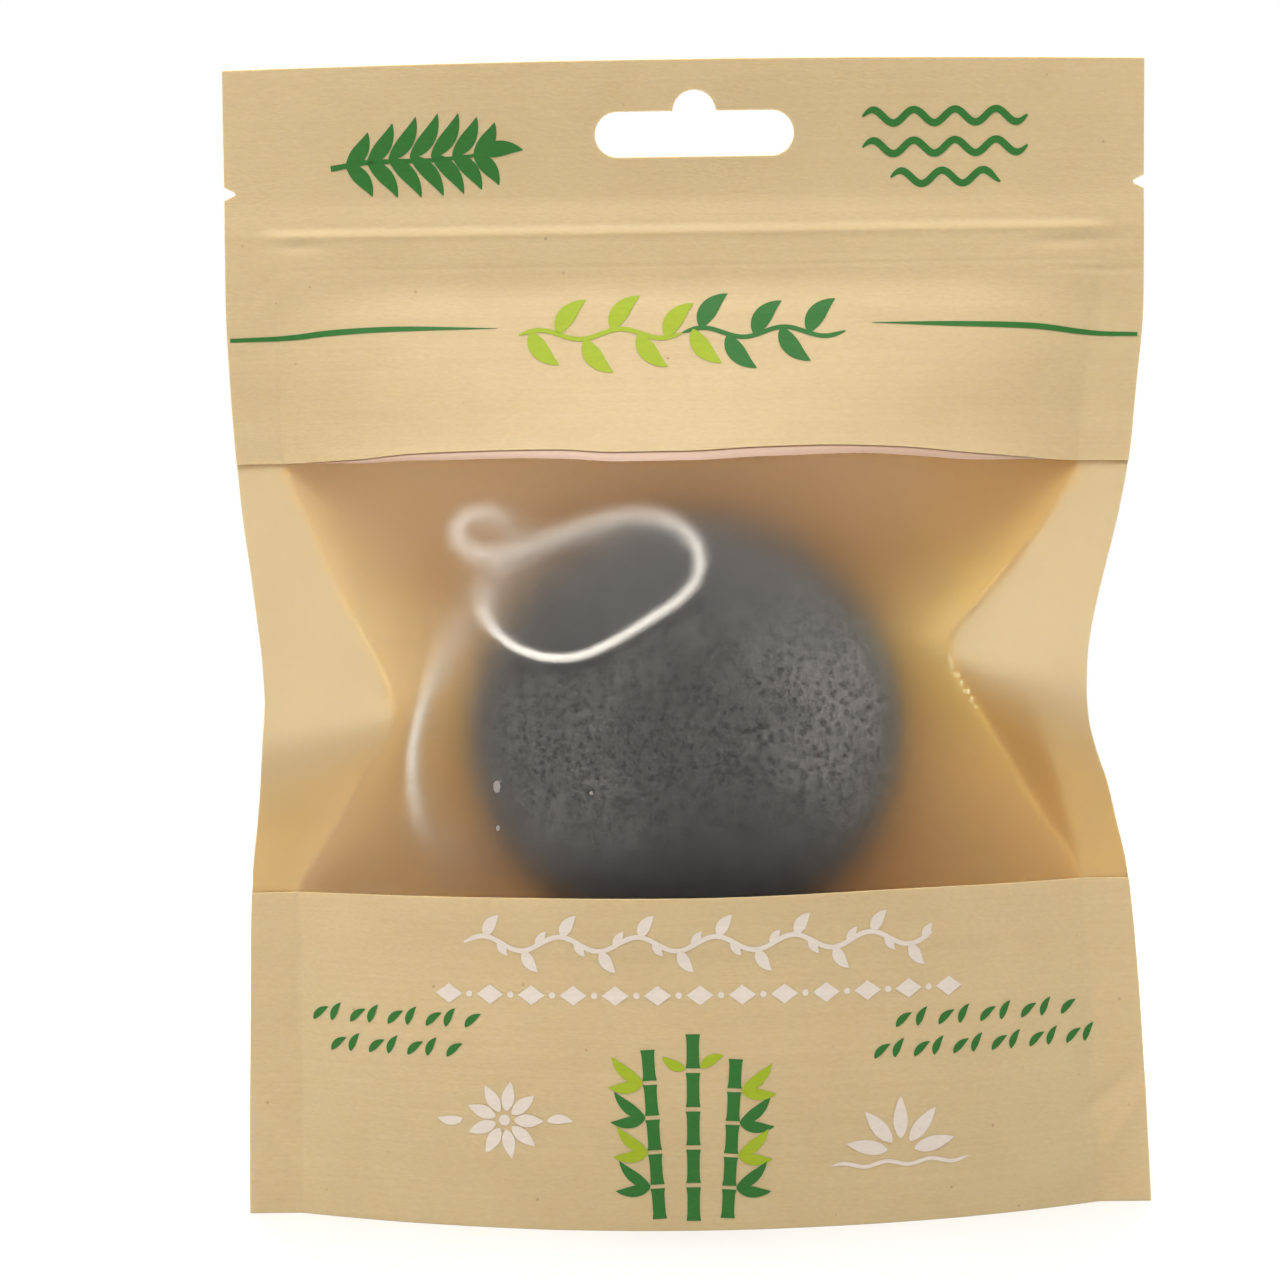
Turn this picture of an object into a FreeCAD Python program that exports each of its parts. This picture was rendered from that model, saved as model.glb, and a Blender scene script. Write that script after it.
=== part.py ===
import FreeCAD, Part
import math
import os
import Sketcher

os.makedirs("parts", exist_ok=True)
doc = FreeCAD.newDocument("konjac_sponge_pouch")
vec = FreeCAD.Vector

# Driving sizes in millimetres. X runs to the right, the front faces -Y, Z is up.
SIZES = (
    ("pouch_width", 148.0),
    ("waist_pinch", 8.8),
    ("seal_margin", 8.5),
    ("seam_forward", 4.0),
    ("paper_thickness", 0.3),
    ("film_thickness", 0.2),
    ("leaf_thickness", 0.2),
    ("ply_gap", 0.15),
    ("seal_gap", 0.1),
    ("leaf_gap", 0.05),
    ("leaf_inset", 0.3),
    ("sill_rise", 9.5),
    ("window_rise", 8.7),
    ("window_overlap", 5.0),
    ("band_height", 28.5),
    ("gusset_height", 41.5),
    ("ridge_bow", 0.1),
    ("base_depth_front", 18.0),
    ("base_depth_back", 16.0),
    ("film_room", 2.5),
    ("back_room", 7.0),
    ("side_room", 12.5),
    ("waist_lift", 4.0),
    ("zip_height", 6.5),
    ("zip_margin", 0.8),
    ("zip_half_depth", 1.1),
    ("zip_base", 0.3),
    ("zip_gap", 0.1),
    ("zip_rib_width", 0.5),
    ("zip_rib_head", 1.0),
    ("zip_head_depth", 0.4),
    ("zip_lip", 0.4),
    ("zip_crown", 0.3),
    ("crease_rise", 3.0),
    ("crease_gap", 0.5),
    ("header_height", 24.9),
    ("header_gap", 0.1),
    ("slot_length", 32.0),
    ("slot_height", 7.2),
    ("slot_bump", 3.5),
    ("slot_drop", 11.0),
    ("slot_shift", 1.5),
    ("notch_rise", 5.3),
    ("notch_depth", 2.2),
    ("notch_height", 2.2),
    ("sponge_diameter", 70.0),
    ("sponge_thickness", 34.0),
    ("sponge_set_back", 11.5),
    ("sponge_offset", -1.2),
    ("crown_radius", 70.0),
    ("shoulder_radius", 17.0),
    ("rest_gap", 0.3),
    ("channel_diameter", 4.2),
    ("channel_depth", 9.0),
    ("knot_diameter", 3.4),
    ("cord_diameter", 1.3),
)

sizes = doc.addObject("Spreadsheet::Sheet", "sizes")
for row, (alias, value) in enumerate(SIZES, start=1):
    sizes.set(f"A{row}", alias)
    sizes.set(f"B{row}", str(value))
    sizes.setAlias(f"B{row}", alias)
doc.recompute()


def number(expression):
    """The present value of an expression over the sheet, for first sketch positions."""
    return float(sizes.evalExpression(expression))


def mixed(low, high, share):
    """Expression for the place a share of the way from low to high."""
    return f"({low} + ({high} - ({low})) * {share})"


HALF = "sizes.pouch_width / 2"
CENTRE = "(sizes.gusset_height + sizes.rest_gap + sizes.sponge_diameter / 2)"
FRONT = "(sizes.sponge_thickness - sizes.sponge_set_back + sizes.film_room)"
BACK = "(sizes.sponge_set_back + sizes.back_room)"
SEAM = f"(({FRONT} + sizes.film_thickness) - ({BACK} + sizes.paper_thickness)) / 2"
SPREAD = f"({HALF} - sizes.waist_pinch - sizes.seal_margin - sizes.sponge_diameter / 2 - sizes.side_room)"
FILM_PLY = "(sizes.film_thickness + sizes.ply_gap)"
SILL = "(sizes.gusset_height + sizes.sill_rise)"
LINTEL = f"({CENTRE} + sizes.sponge_diameter / 2 + sizes.window_rise)"
ZIP_BOTTOM = f"({LINTEL} + sizes.band_height)"
ZIP_TOP = f"({ZIP_BOTTOM} + sizes.zip_height)"
CREASE = f"({ZIP_TOP} + sizes.crease_rise)"
TOP = f"({CREASE} + sizes.header_height)"

# Where each station stands on the pouch: name and height.
HEIGHTS = {
    "foot": "sizes.gusset_height * 0",
    "shin": "sizes.gusset_height * 0.5",
    "ridge": "sizes.gusset_height",
    "lap_low": f"({SILL} - sizes.window_overlap)",
    "sill": SILL,
    "hip": mixed(SILL, CENTRE, 0.55),
    "waist": f"({CENTRE} + sizes.waist_lift)",
    "chest": mixed(CENTRE, LINTEL, 0.4),
    "breast": mixed(CENTRE, LINTEL, 0.62),
    "neck": mixed(CENTRE, LINTEL, 0.81),
    "lintel": LINTEL,
    "lap_high": f"({LINTEL} + sizes.window_overlap)",
    "throat": mixed(LINTEL, ZIP_BOTTOM, 0.55),
    "zip_low": f"({ZIP_BOTTOM} - sizes.zip_margin)",
    "zip_high": f"({ZIP_TOP} + sizes.zip_margin)",
    "crease": f"({CREASE} - sizes.crease_gap / 2)",
}

# How far each station takes the waist pinch, the inward spread of the side folds,
# the forward seam and the front and back swell.
STATION_SHARES = {
    "foot": (0.18, 0.0, 0.0, 0.0, 0.0),
    "shin": (0.25, 0.0, 0.0, 0.80, 0.94),
    "ridge": (0.33, 0.0, 0.0, 0.83, 1.0),
    "lap_low": (0.36, 0.0, 0.0, 0.84, 1.0),
    "sill": (0.42, 0.0, 0.0, 0.86, 1.0),
    "hip": (0.72, 0.55, 0.6, 0.955, 1.0),
    "waist": (1.0, 1.0, 1.0, 1.0, 1.0),
    "chest": (0.83, 0.65, 0.7, 0.985, 0.99),
    "breast": (0.62, 0.36, 0.4, 0.9, 0.92),
    "neck": (0.44, 0.15, 0.18, 0.745, 0.79),
    "lintel": (0.27, 0.0, 0.0, 0.53, 0.6),
    "lap_high": (0.22, 0.0, 0.0, 0.43, 0.5),
    "throat": (0.13, 0.0, 0.0, 0.21, 0.26),
    "zip_low": (0.06, 0.0, 0.0, 0.0, 0.0),
    "zip_high": (0.0, 0.0, 0.0, 0.0, 0.0),
    "crease": (0.0, 0.0, 0.0, 0.0, 0.0),
}
FIXED_FRONT = {
    "foot": ("sizes.seal_gap + " + FILM_PLY, "sizes.base_depth_front"),
    "zip_low": ("sizes.zip_half_depth", "sizes.zip_half_depth + sizes.zip_crown"),
    "zip_high": ("sizes.zip_half_depth", "sizes.zip_half_depth + sizes.zip_crown"),
    "crease": ("sizes.header_gap / 2", "sizes.header_gap / 2 + sizes.zip_crown"),
}
FIXED_BACK = {
    "foot": ("sizes.seal_gap", "sizes.base_depth_back"),
    "zip_low": ("sizes.zip_half_depth", "sizes.zip_half_depth + sizes.zip_crown"),
    "zip_high": ("sizes.zip_half_depth", "sizes.zip_half_depth + sizes.zip_crown"),
    "crease": ("sizes.header_gap / 2", "sizes.header_gap / 2 + sizes.zip_crown"),
}


def half_width(station):
    pinch = STATION_SHARES[station][0]
    return f"({HALF} - sizes.waist_pinch * {pinch})"


def fold_half(station):
    spread = STATION_SHARES[station][1]
    return f"({half_width(station)} - sizes.seal_margin - {SPREAD} * {spread})"


def front_sheet(station, ply):
    """Wing and crown of a front sheet's inner face, as y expressions from the seam."""
    seam = f"sizes.seam_forward * {STATION_SHARES[station][2]}"
    if station in FIXED_FRONT:
        wing, crown = FIXED_FRONT[station]
        return f"-({wing})", f"-({crown})"
    wing = f"-({seam} + sizes.seal_gap + {ply})"
    crown = f"-({FRONT} * {STATION_SHARES[station][3]} + {ply})"
    return wing, crown


def back_sheet(station):
    """Wing and crown of the back sheet's inner face, as y expressions from the seam."""
    seam = f"sizes.seam_forward * {STATION_SHARES[station][2]}"
    if station in FIXED_BACK:
        return FIXED_BACK[station]
    return f"(sizes.seal_gap - {seam})", f"({BACK} * {STATION_SHARES[station][4]})"


def plane(body, role):
    return next(item for item in body.Origin.OriginFeatures if item.Role == role)


def new_body(label):
    body = doc.addObject("PartDesign::Body", label)
    body.Label = label
    body.setExpression("Placement.Base.y", SEAM)
    return body


def new_sketch(body, name, role, offset=None):
    sketch = body.newObject("Sketcher::SketchObject", name)
    sketch.AttachmentSupport = [(plane(body, role), "")]
    sketch.MapMode = "FlatFace"
    if offset:
        sketch.setExpression("AttachmentOffset.Base.z", offset)
    return sketch


def tie(sketch, name, constraint, expression):
    """Add one driving dimension and bind it to the sheet."""
    index = sketch.addConstraint(constraint)
    sketch.renameConstraint(index, name)
    sketch.setExpression(f"Constraints.{name}", expression)


def chain(sketch, points):
    """Closed run of straight lines through the points, joined end to end."""
    lines = []
    for here, there in zip(points, points[1:] + points[:1]):
        lines.append(sketch.addGeometry(Part.LineSegment(vec(*here, 0), vec(*there, 0))))
    for here, there in zip(lines, lines[1:] + lines[:1]):
        sketch.addConstraint(Sketcher.Constraint("Coincident", here, 2, there, 1))
    return lines


def sheet_section(body, name, height, half, fold, wing, crown, skin):
    """One height of a bent sheet: flat margin, bowed middle, flat margin, one skin thick."""
    sketch = new_sketch(body, name, "XY_Plane", height)
    edge = number(half)
    turn = number(fold)
    low = number(wing)
    rise = number(crown) - low
    step = number(skin)
    rule = Sketcher.Constraint
    runs = []
    for level in (low, low + step):
        left = Part.LineSegment(vec(-edge, level, 0), vec(-turn, level, 0))
        bow = Part.Arc(vec(-turn, level, 0), vec(0, level + rise, 0), vec(turn, level, 0))
        right = Part.LineSegment(vec(turn, level, 0), vec(edge, level, 0))
        runs.append([sketch.addGeometry(item) for item in (left, bow, right)])
    inner, outer = runs
    ends = []
    for side in (edge, -edge):
        line = Part.LineSegment(vec(side, low, 0), vec(side, low + step, 0))
        ends.append(sketch.addGeometry(line))
    for left, bow, right in runs:
        first = 1 if sketch.getPoint(bow, 1).x < 0 else 2
        sketch.addConstraint(rule("Coincident", left, 2, bow, first))
        sketch.addConstraint(rule("Coincident", right, 1, bow, 3 - first))
        sketch.addConstraint(rule("Horizontal", left))
        sketch.addConstraint(rule("Symmetric", left, 1, right, 2, -2))
        sketch.addConstraint(rule("Symmetric", left, 2, right, 1, -2))
    sketch.addConstraint(rule("Coincident", inner[2], 2, ends[0], 1))
    sketch.addConstraint(rule("Coincident", outer[2], 2, ends[0], 2))
    sketch.addConstraint(rule("Coincident", inner[0], 1, ends[1], 1))
    sketch.addConstraint(rule("Coincident", outer[0], 1, ends[1], 2))
    sketch.addConstraint(rule("Vertical", ends[0]))
    sketch.addConstraint(rule("Vertical", inner[2], 1, outer[2], 1))
    sketch.addConstraint(rule("Equal", inner[1], outer[1]))
    drop = f"abs({crown} - ({wing}))"
    radius = f"(pow({fold}; 2) + pow({drop}; 2)) / (2 * {drop})"
    tie(sketch, "half_width", rule("DistanceX", -1, 1, inner[2], 2, edge), half)
    tie(sketch, "fold_half", rule("DistanceX", -1, 1, inner[2], 1, turn), fold)
    tie(sketch, "inner_level", rule("DistanceY", -1, 1, inner[2], 2, low), wing)
    tie(sketch, "outer_level", rule("DistanceY", -1, 1, outer[2], 2, low + step), f"{wing} + {skin}")
    tie(sketch, "bow_radius", rule("Radius", inner[1], number(radius)), radius)
    return sketch


def loft(body, name, sections):
    """Sheet drawn straight from each section to the next one up."""
    feature = body.newObject("PartDesign::AdditiveLoft", name)
    feature.Profile = sections[0]
    feature.Sections = sections[1:]
    feature.Ruled = True
    doc.recompute()
    return feature


PAPER_OUT = "(-sizes.paper_thickness)"
FILM_OUT = "(-sizes.film_thickness)"


def front_section(body, station, ply, skin):
    wing, crown = front_sheet(station, ply)
    name = f"{body.Label}_{station}"
    return sheet_section(body, name, HEIGHTS[station], half_width(station),
                         fold_half(station), wing, crown, skin)


def back_section(body, station):
    wing, crown = back_sheet(station)
    name = f"{body.Label}_{station}"
    return sheet_section(body, name, HEIGHTS[station], half_width(station),
                         fold_half(station), wing, crown, "sizes.paper_thickness")


# Lower paper band of the front, from the foot to the window sill.
front_lower_band = new_body("front_lower_band")
lower = [front_section(front_lower_band, station, FILM_PLY, PAPER_OUT)
         for station in ("foot", "shin", "ridge", "lap_low", "sill")]
loft(front_lower_band, "lower_band_loft", lower)

# Frosted window film, lapped behind both paper bands.
window_film = new_body("window_film")
film = [front_section(window_film, station, "0", FILM_OUT)
        for station in ("lap_low", "sill", "hip", "waist", "chest", "breast", "neck", "lintel", "lap_high")]
loft(window_film, "film_loft", film)

# Upper paper band of the front: swelled part below, flat collar over the zip.
front_upper_band = new_body("front_upper_band")
upper = [front_section(front_upper_band, station, FILM_PLY, PAPER_OUT)
         for station in ("lintel", "lap_high", "throat", "zip_low", "zip_high", "crease")]
loft(front_upper_band, "upper_band_loft", upper)

# One back sheet from the foot to the crease.
back_panel = new_body("back_panel")
rear = [back_section(back_panel, station)
        for station in HEIGHTS]
loft(back_panel, "back_loft", rear)

# Bottom gusset: two leaves rising from the feet to one fold.
bottom_gusset = new_body("bottom_gusset")
LEAF_FOOT = f"({half_width('foot')} - sizes.leaf_inset)"
LEAF_RIDGE = f"({half_width('ridge')} - sizes.leaf_inset)"
FRONT_LEAF = f"(sizes.seal_gap + {FILM_PLY} - sizes.leaf_gap)"
BACK_LEAF = "(sizes.seal_gap - sizes.leaf_gap)"
FOLD_FOOT = fold_half("foot")
FOLD_RIDGE = fold_half("ridge")
leaf_specs = (
    ("front", f"-{FRONT_LEAF}", "-(sizes.base_depth_front - sizes.leaf_gap)", "sizes.leaf_thickness",
     f"-({FRONT_LEAF} + sizes.ridge_bow)"),
    ("back", BACK_LEAF, "(sizes.base_depth_back - sizes.leaf_gap)", "(-sizes.leaf_thickness)",
     f"({BACK_LEAF} + sizes.ridge_bow)"),
)
for side, wing, bow, skin, ridge in leaf_specs:
    foot = sheet_section(bottom_gusset, f"{side}_leaf_foot", HEIGHTS["foot"], LEAF_FOOT,
                         FOLD_FOOT, wing, bow, skin)
    top = sheet_section(bottom_gusset, f"{side}_leaf_top", HEIGHTS["ridge"], LEAF_RIDGE,
                        FOLD_RIDGE, wing, ridge, skin)
    loft(bottom_gusset, f"{side}_leaf", [foot, top])
fold_outline = new_sketch(bottom_gusset, "fold_outline", "XY_Plane", HEIGHTS["ridge"])
fold_edge = number(LEAF_RIDGE)
fold_front = -number(FRONT_LEAF)
fold_back = number(BACK_LEAF)
fold_lines = chain(fold_outline, [(-fold_edge, fold_front), (fold_edge, fold_front),
                                  (fold_edge, fold_back), (-fold_edge, fold_back)])
for index in (1, 3):
    fold_outline.addConstraint(Sketcher.Constraint("Vertical", fold_lines[index]))
fold_outline.addConstraint(Sketcher.Constraint("Horizontal", fold_lines[2]))
fold_outline.addConstraint(Sketcher.Constraint("Symmetric", fold_lines[0], 1, fold_lines[0], 2, -2))
tie(fold_outline, "edge", Sketcher.Constraint("DistanceX", -1, 1, fold_lines[1], 1, fold_edge), LEAF_RIDGE)
tie(fold_outline, "front", Sketcher.Constraint("DistanceY", -1, 1, fold_lines[0], 1, fold_front), f"-{FRONT_LEAF}")
tie(fold_outline, "back", Sketcher.Constraint("DistanceY", -1, 1, fold_lines[2], 1, fold_back), BACK_LEAF)
fold = bottom_gusset.newObject("PartDesign::Pad", "fold")
fold.Profile = fold_outline
fold.Reversed = True
fold.setExpression("Length", "sizes.leaf_thickness")
doc.recompute()


def strip_profile(body, name, corners):
    """Zip strip cut across: each corner is a pair of expressions, depth and height."""
    sketch = new_sketch(body, name, "YZ_Plane")
    points = [(number(across), number(up)) for across, up in corners]
    lines = chain(sketch, points)
    for index, (across, up) in enumerate(corners):
        place = points[index]
        rule = Sketcher.Constraint("DistanceX", -1, 1, lines[index], 1, place[0])
        tie(sketch, f"across_{index}", rule, across)
        rule = Sketcher.Constraint("DistanceY", -1, 1, lines[index], 1, place[1])
        tie(sketch, f"up_{index}", rule, up)
    return sketch


def pad_strip(body, name, profile):
    pad = body.newObject("PartDesign::Pad", name)
    pad.Profile = profile
    pad.SideType = "Symmetric"
    pad.setExpression("Length", f"({half_width('zip_low')} - sizes.leaf_inset) * 2")
    doc.recompute()


ZIP_MIDDLE = f"({ZIP_BOTTOM} + sizes.zip_height / 2)"
STRIP_OUT = "(sizes.zip_half_depth - sizes.zip_gap)"
STRIP_IN = f"({STRIP_OUT} - sizes.zip_base)"
HEAD_IN = f"({STRIP_IN} - sizes.zip_gap)"
HEAD_OUT = f"({HEAD_IN} - sizes.zip_head_depth)"
LIP_TIP = f"({STRIP_IN} - sizes.zip_gap)"
LIP_HOOK = f"({HEAD_OUT} - sizes.zip_gap)"
STEM = "(sizes.zip_rib_width / 2)"
HEAD = "(sizes.zip_rib_head / 2)"
MOUTH = "(sizes.zip_rib_width / 2 + sizes.zip_gap)"
CAVE = "(sizes.zip_rib_head / 2 + sizes.zip_gap)"
CHEEK = f"({CAVE} + sizes.zip_lip)"

zip_rib_strip = new_body("zip_rib_strip")
rib_corners = [(f"-{STRIP_OUT}", ZIP_BOTTOM), (f"-{STRIP_IN}", ZIP_BOTTOM)]
for depth, reach, sign in ((f"-{STRIP_IN}", STEM, "-"), (HEAD_OUT, STEM, "-"), (HEAD_OUT, HEAD, "-"),
                           (HEAD_IN, HEAD, "-"), (HEAD_IN, HEAD, "+"), (HEAD_OUT, HEAD, "+"),
                           (HEAD_OUT, STEM, "+"), (f"-{STRIP_IN}", STEM, "+")):
    rib_corners.append((depth, f"({ZIP_MIDDLE} {sign} {reach})"))
rib_corners.append((f"-{STRIP_IN}", ZIP_TOP))
rib_corners.append((f"-{STRIP_OUT}", ZIP_TOP))
pad_strip(zip_rib_strip, "rib_pad", strip_profile(zip_rib_strip, "rib_profile", rib_corners))

zip_groove_strip = new_body("zip_groove_strip")
groove_corners = [(STRIP_OUT, ZIP_BOTTOM), (STRIP_IN, ZIP_BOTTOM)]
for depth, reach, sign in ((STRIP_IN, CHEEK, "-"), (f"-{LIP_TIP}", CHEEK, "-"), (f"-{LIP_TIP}", MOUTH, "-"),
                           (LIP_HOOK, MOUTH, "-"), (LIP_HOOK, CAVE, "-"), (STRIP_IN, CAVE, "-"),
                           (STRIP_IN, CAVE, "+"), (LIP_HOOK, CAVE, "+"), (LIP_HOOK, MOUTH, "+"),
                           (f"-{LIP_TIP}", MOUTH, "+"), (f"-{LIP_TIP}", CHEEK, "+"), (STRIP_IN, CHEEK, "+")):
    groove_corners.append((depth, f"({ZIP_MIDDLE} {sign} {reach})"))
groove_corners.append((STRIP_IN, ZIP_TOP))
groove_corners.append((STRIP_OUT, ZIP_TOP))
groove_profile = strip_profile(zip_groove_strip, "groove_profile", groove_corners)
pad_strip(zip_groove_strip, "groove_pad", groove_profile)

HEADER_BOTTOM = f"({CREASE} + sizes.crease_gap / 2)"
SLOT_LEVEL = f"({TOP} - sizes.slot_drop)"
NOTCH_LEVEL = f"({CREASE} + sizes.notch_rise)"


def header_ply(label, near):
    """One flat header ply with the hang slot and a tear notch at each edge."""
    body = new_body(label)
    rule = Sketcher.Constraint
    outline = new_sketch(body, f"{label}_outline", "XZ_Plane", near)
    edge = number(HALF)
    low = number(HEADER_BOTTOM)
    high = number(TOP)
    lines = chain(outline, [(-edge, low), (edge, low), (edge, high), (-edge, high)])
    for index in (1, 3):
        outline.addConstraint(rule("Vertical", lines[index]))
    outline.addConstraint(rule("Horizontal", lines[2]))
    outline.addConstraint(rule("Symmetric", lines[0], 1, lines[0], 2, -2))
    tie(outline, "half_width", rule("DistanceX", -1, 1, lines[1], 1, edge), HALF)
    tie(outline, "bottom", rule("DistanceY", -1, 1, lines[0], 1, low), HEADER_BOTTOM)
    tie(outline, "top", rule("DistanceY", -1, 1, lines[2], 1, high), TOP)
    pad = body.newObject("PartDesign::Pad", f"{label}_pad")
    pad.Profile = outline
    pad.setExpression("Length", "sizes.paper_thickness")
    doc.recompute()

    slot = new_sketch(body, f"{label}_slot", "XZ_Plane", near)
    slot.setExpression("AttachmentOffset.Base.x", "sizes.slot_shift")
    level = number(SLOT_LEVEL)
    end = number("sizes.slot_height / 2")
    reach = number("sizes.slot_length / 2") - end
    bump = number("sizes.slot_bump")
    top = level + end
    parts = (
        Part.LineSegment(vec(-reach, level - end, 0), vec(reach, level - end, 0)),
        Part.Arc(vec(reach, level - end, 0), vec(reach + end, level, 0), vec(reach, top, 0)),
        Part.LineSegment(vec(reach, top, 0), vec(bump, top, 0)),
        Part.Arc(vec(bump, top, 0), vec(0, top + bump, 0), vec(-bump, top, 0)),
        Part.LineSegment(vec(-bump, top, 0), vec(-reach, top, 0)),
        Part.Arc(vec(-reach, top, 0), vec(-reach - end, level, 0), vec(-reach, level - end, 0)),
    )
    ids = [slot.addGeometry(item) for item in parts]
    slot.addConstraint(rule("Tangent", ids[0], 2, ids[1], 1))
    slot.addConstraint(rule("Tangent", ids[1], 2, ids[2], 1))
    slot.addConstraint(rule("Coincident", ids[2], 2, ids[3], 1))
    slot.addConstraint(rule("Coincident", ids[3], 2, ids[4], 1))
    slot.addConstraint(rule("Tangent", ids[4], 2, ids[5], 1))
    slot.addConstraint(rule("Tangent", ids[5], 2, ids[0], 1))
    slot.addConstraint(rule("Horizontal", ids[2]))
    slot.addConstraint(rule("Horizontal", ids[4]))
    slot.addConstraint(rule("Symmetric", ids[0], 1, ids[0], 2, -2))
    slot.addConstraint(rule("Symmetric", ids[3], 1, ids[3], 2, ids[3], 3))
    slot.addConstraint(rule("PointOnObject", ids[3], 3, -2))
    slot.addConstraint(rule("Equal", ids[1], ids[5]))
    tie(slot, "reach", rule("DistanceX", -1, 1, ids[0], 2, reach), "(sizes.slot_length - sizes.slot_height) / 2")
    tie(slot, "level", rule("DistanceY", -1, 1, ids[1], 3, level), SLOT_LEVEL)
    tie(slot, "end_radius", rule("Radius", ids[1], end), "sizes.slot_height / 2")
    tie(slot, "bump_radius", rule("Radius", ids[3], bump), "sizes.slot_bump")
    cut = body.newObject("PartDesign::Pocket", f"{label}_hang_slot")
    cut.Profile = slot
    cut.Type = "ThroughAll"
    cut.SideType = "Symmetric"
    doc.recompute()

    notch = new_sketch(body, f"{label}_notches", "XZ_Plane", near)
    middle = number(NOTCH_LEVEL)
    half = number("sizes.notch_height / 2")
    inner = edge - number("sizes.notch_depth") + half
    outer = edge + number("sizes.notch_depth")
    for side, mark in ((1, "right"), (-1, "left")):
        parts = (
            Part.LineSegment(vec(side * outer, middle - half, 0), vec(side * outer, middle + half, 0)),
            Part.LineSegment(vec(side * outer, middle + half, 0), vec(side * inner, middle + half, 0)),
            Part.Arc(vec(side * inner, middle + half, 0), vec(side * (inner - half), middle, 0),
                     vec(side * inner, middle - half, 0)),
            Part.LineSegment(vec(side * inner, middle - half, 0), vec(side * outer, middle - half, 0)),
        )
        ids = [notch.addGeometry(item) for item in parts]
        upper_end = 1 if notch.getPoint(ids[2], 1).y > middle else 2
        notch.addConstraint(rule("Coincident", ids[0], 2, ids[1], 1))
        notch.addConstraint(rule("Tangent", ids[1], 2, ids[2], upper_end))
        notch.addConstraint(rule("Tangent", ids[2], 3 - upper_end, ids[3], 1))
        notch.addConstraint(rule("Coincident", ids[3], 2, ids[0], 1))
        notch.addConstraint(rule("Vertical", ids[0]))
        notch.addConstraint(rule("Horizontal", ids[1]))
        notch.addConstraint(rule("Horizontal", ids[3]))
        sign = "" if side > 0 else "-"
        tie(notch, f"{mark}_outer", rule("DistanceX", -1, 1, ids[0], 1, side * outer),
            f"{sign}({HALF} + sizes.notch_depth)")
        tie(notch, f"{mark}_inner", rule("DistanceX", -1, 1, ids[2], 3, side * inner),
            f"{sign}({HALF} - sizes.notch_depth + sizes.notch_height / 2)")
        tie(notch, f"{mark}_level", rule("DistanceY", -1, 1, ids[2], 3, middle), NOTCH_LEVEL)
        tie(notch, f"{mark}_radius", rule("Radius", ids[2], half), "sizes.notch_height / 2")
    tear = body.newObject("PartDesign::Pocket", f"{label}_tear_notches")
    tear.Profile = notch
    tear.Type = "ThroughAll"
    tear.SideType = "Symmetric"
    doc.recompute()
    return body


header_front_ply = header_ply("header_front_ply", "sizes.header_gap / 2")
header_back_ply = header_ply("header_back_ply", "-(sizes.header_gap / 2 + sizes.paper_thickness)")

# Sponge: a domed bun turned about its own depth axis, flat at the back.
konjac_sponge = new_body("konjac_sponge")
konjac_sponge.setExpression("Placement.Base.x", "sizes.sponge_offset")
konjac_sponge.setExpression("Placement.Base.z", CENTRE)
profile = new_sketch(konjac_sponge, "sponge_profile", "XY_Plane")
radius = number("sizes.sponge_diameter / 2")
rear_level = number("sizes.sponge_set_back")
front_level = number("sizes.sponge_set_back - sizes.sponge_thickness")
crown = number("sizes.crown_radius")
shoulder = number("sizes.shoulder_radius")
lean = math.asin((radius - shoulder) / (crown - shoulder))
equator = front_level + crown - (crown - shoulder) * math.cos(lean)
heel = rear_level - equator
meet = vec(crown * math.sin(lean), front_level + crown - crown * math.cos(lean), 0)
half_lean = lean / 2
crown_mid = vec(crown * math.sin(half_lean), front_level + crown - crown * math.cos(half_lean), 0)
side_angle = (math.pi / 2 - lean) / 2
side_mid = vec(radius - shoulder + shoulder * math.cos(side_angle), equator - shoulder * math.sin(side_angle), 0)
quarter = math.pi / 4
heel_mid = vec(radius - heel + heel * math.cos(quarter), equator + heel * math.sin(quarter), 0)
outline_parts = (
    Part.Arc(vec(0, front_level, 0), crown_mid, meet),
    Part.Arc(meet, side_mid, vec(radius, equator, 0)),
    Part.Arc(vec(radius, equator, 0), heel_mid, vec(radius - heel, rear_level, 0)),
    Part.LineSegment(vec(radius - heel, rear_level, 0), vec(0, rear_level, 0)),
    Part.LineSegment(vec(0, rear_level, 0), vec(0, front_level, 0)),
)
ids = [profile.addGeometry(item) for item in outline_parts]
rule = Sketcher.Constraint
profile.addConstraint(rule("Tangent", ids[0], 2, ids[1], 1))
profile.addConstraint(rule("Tangent", ids[1], 2, ids[2], 1))
profile.addConstraint(rule("Tangent", ids[2], 2, ids[3], 1))
profile.addConstraint(rule("Coincident", ids[3], 2, ids[4], 1))
profile.addConstraint(rule("Coincident", ids[4], 2, ids[0], 1))
profile.addConstraint(rule("PointOnObject", ids[0], 3, -2))
profile.addConstraint(rule("PointOnObject", ids[4], 1, -2))
profile.addConstraint(rule("PointOnObject", ids[4], 2, -2))
profile.addConstraint(rule("Horizontal", ids[3]))
profile.addConstraint(rule("Horizontal", ids[1], 3, ids[1], 2))
tie(profile, "rear", rule("DistanceY", -1, 1, ids[4], 1, rear_level), "sizes.sponge_set_back")
tie(profile, "front", rule("DistanceY", -1, 1, ids[4], 2, front_level),
    "sizes.sponge_set_back - sizes.sponge_thickness")
tie(profile, "crown", rule("Radius", ids[0], crown), "sizes.crown_radius")
tie(profile, "shoulder", rule("Radius", ids[1], shoulder), "sizes.shoulder_radius")
tie(profile, "rim", rule("DistanceX", -1, 1, ids[1], 2, radius), "sizes.sponge_diameter / 2")
turned = konjac_sponge.newObject("PartDesign::Revolution", "sponge_turned")
turned.Profile = profile
turned.ReferenceAxis = (profile, ["V_Axis"])
doc.recompute()
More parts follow.
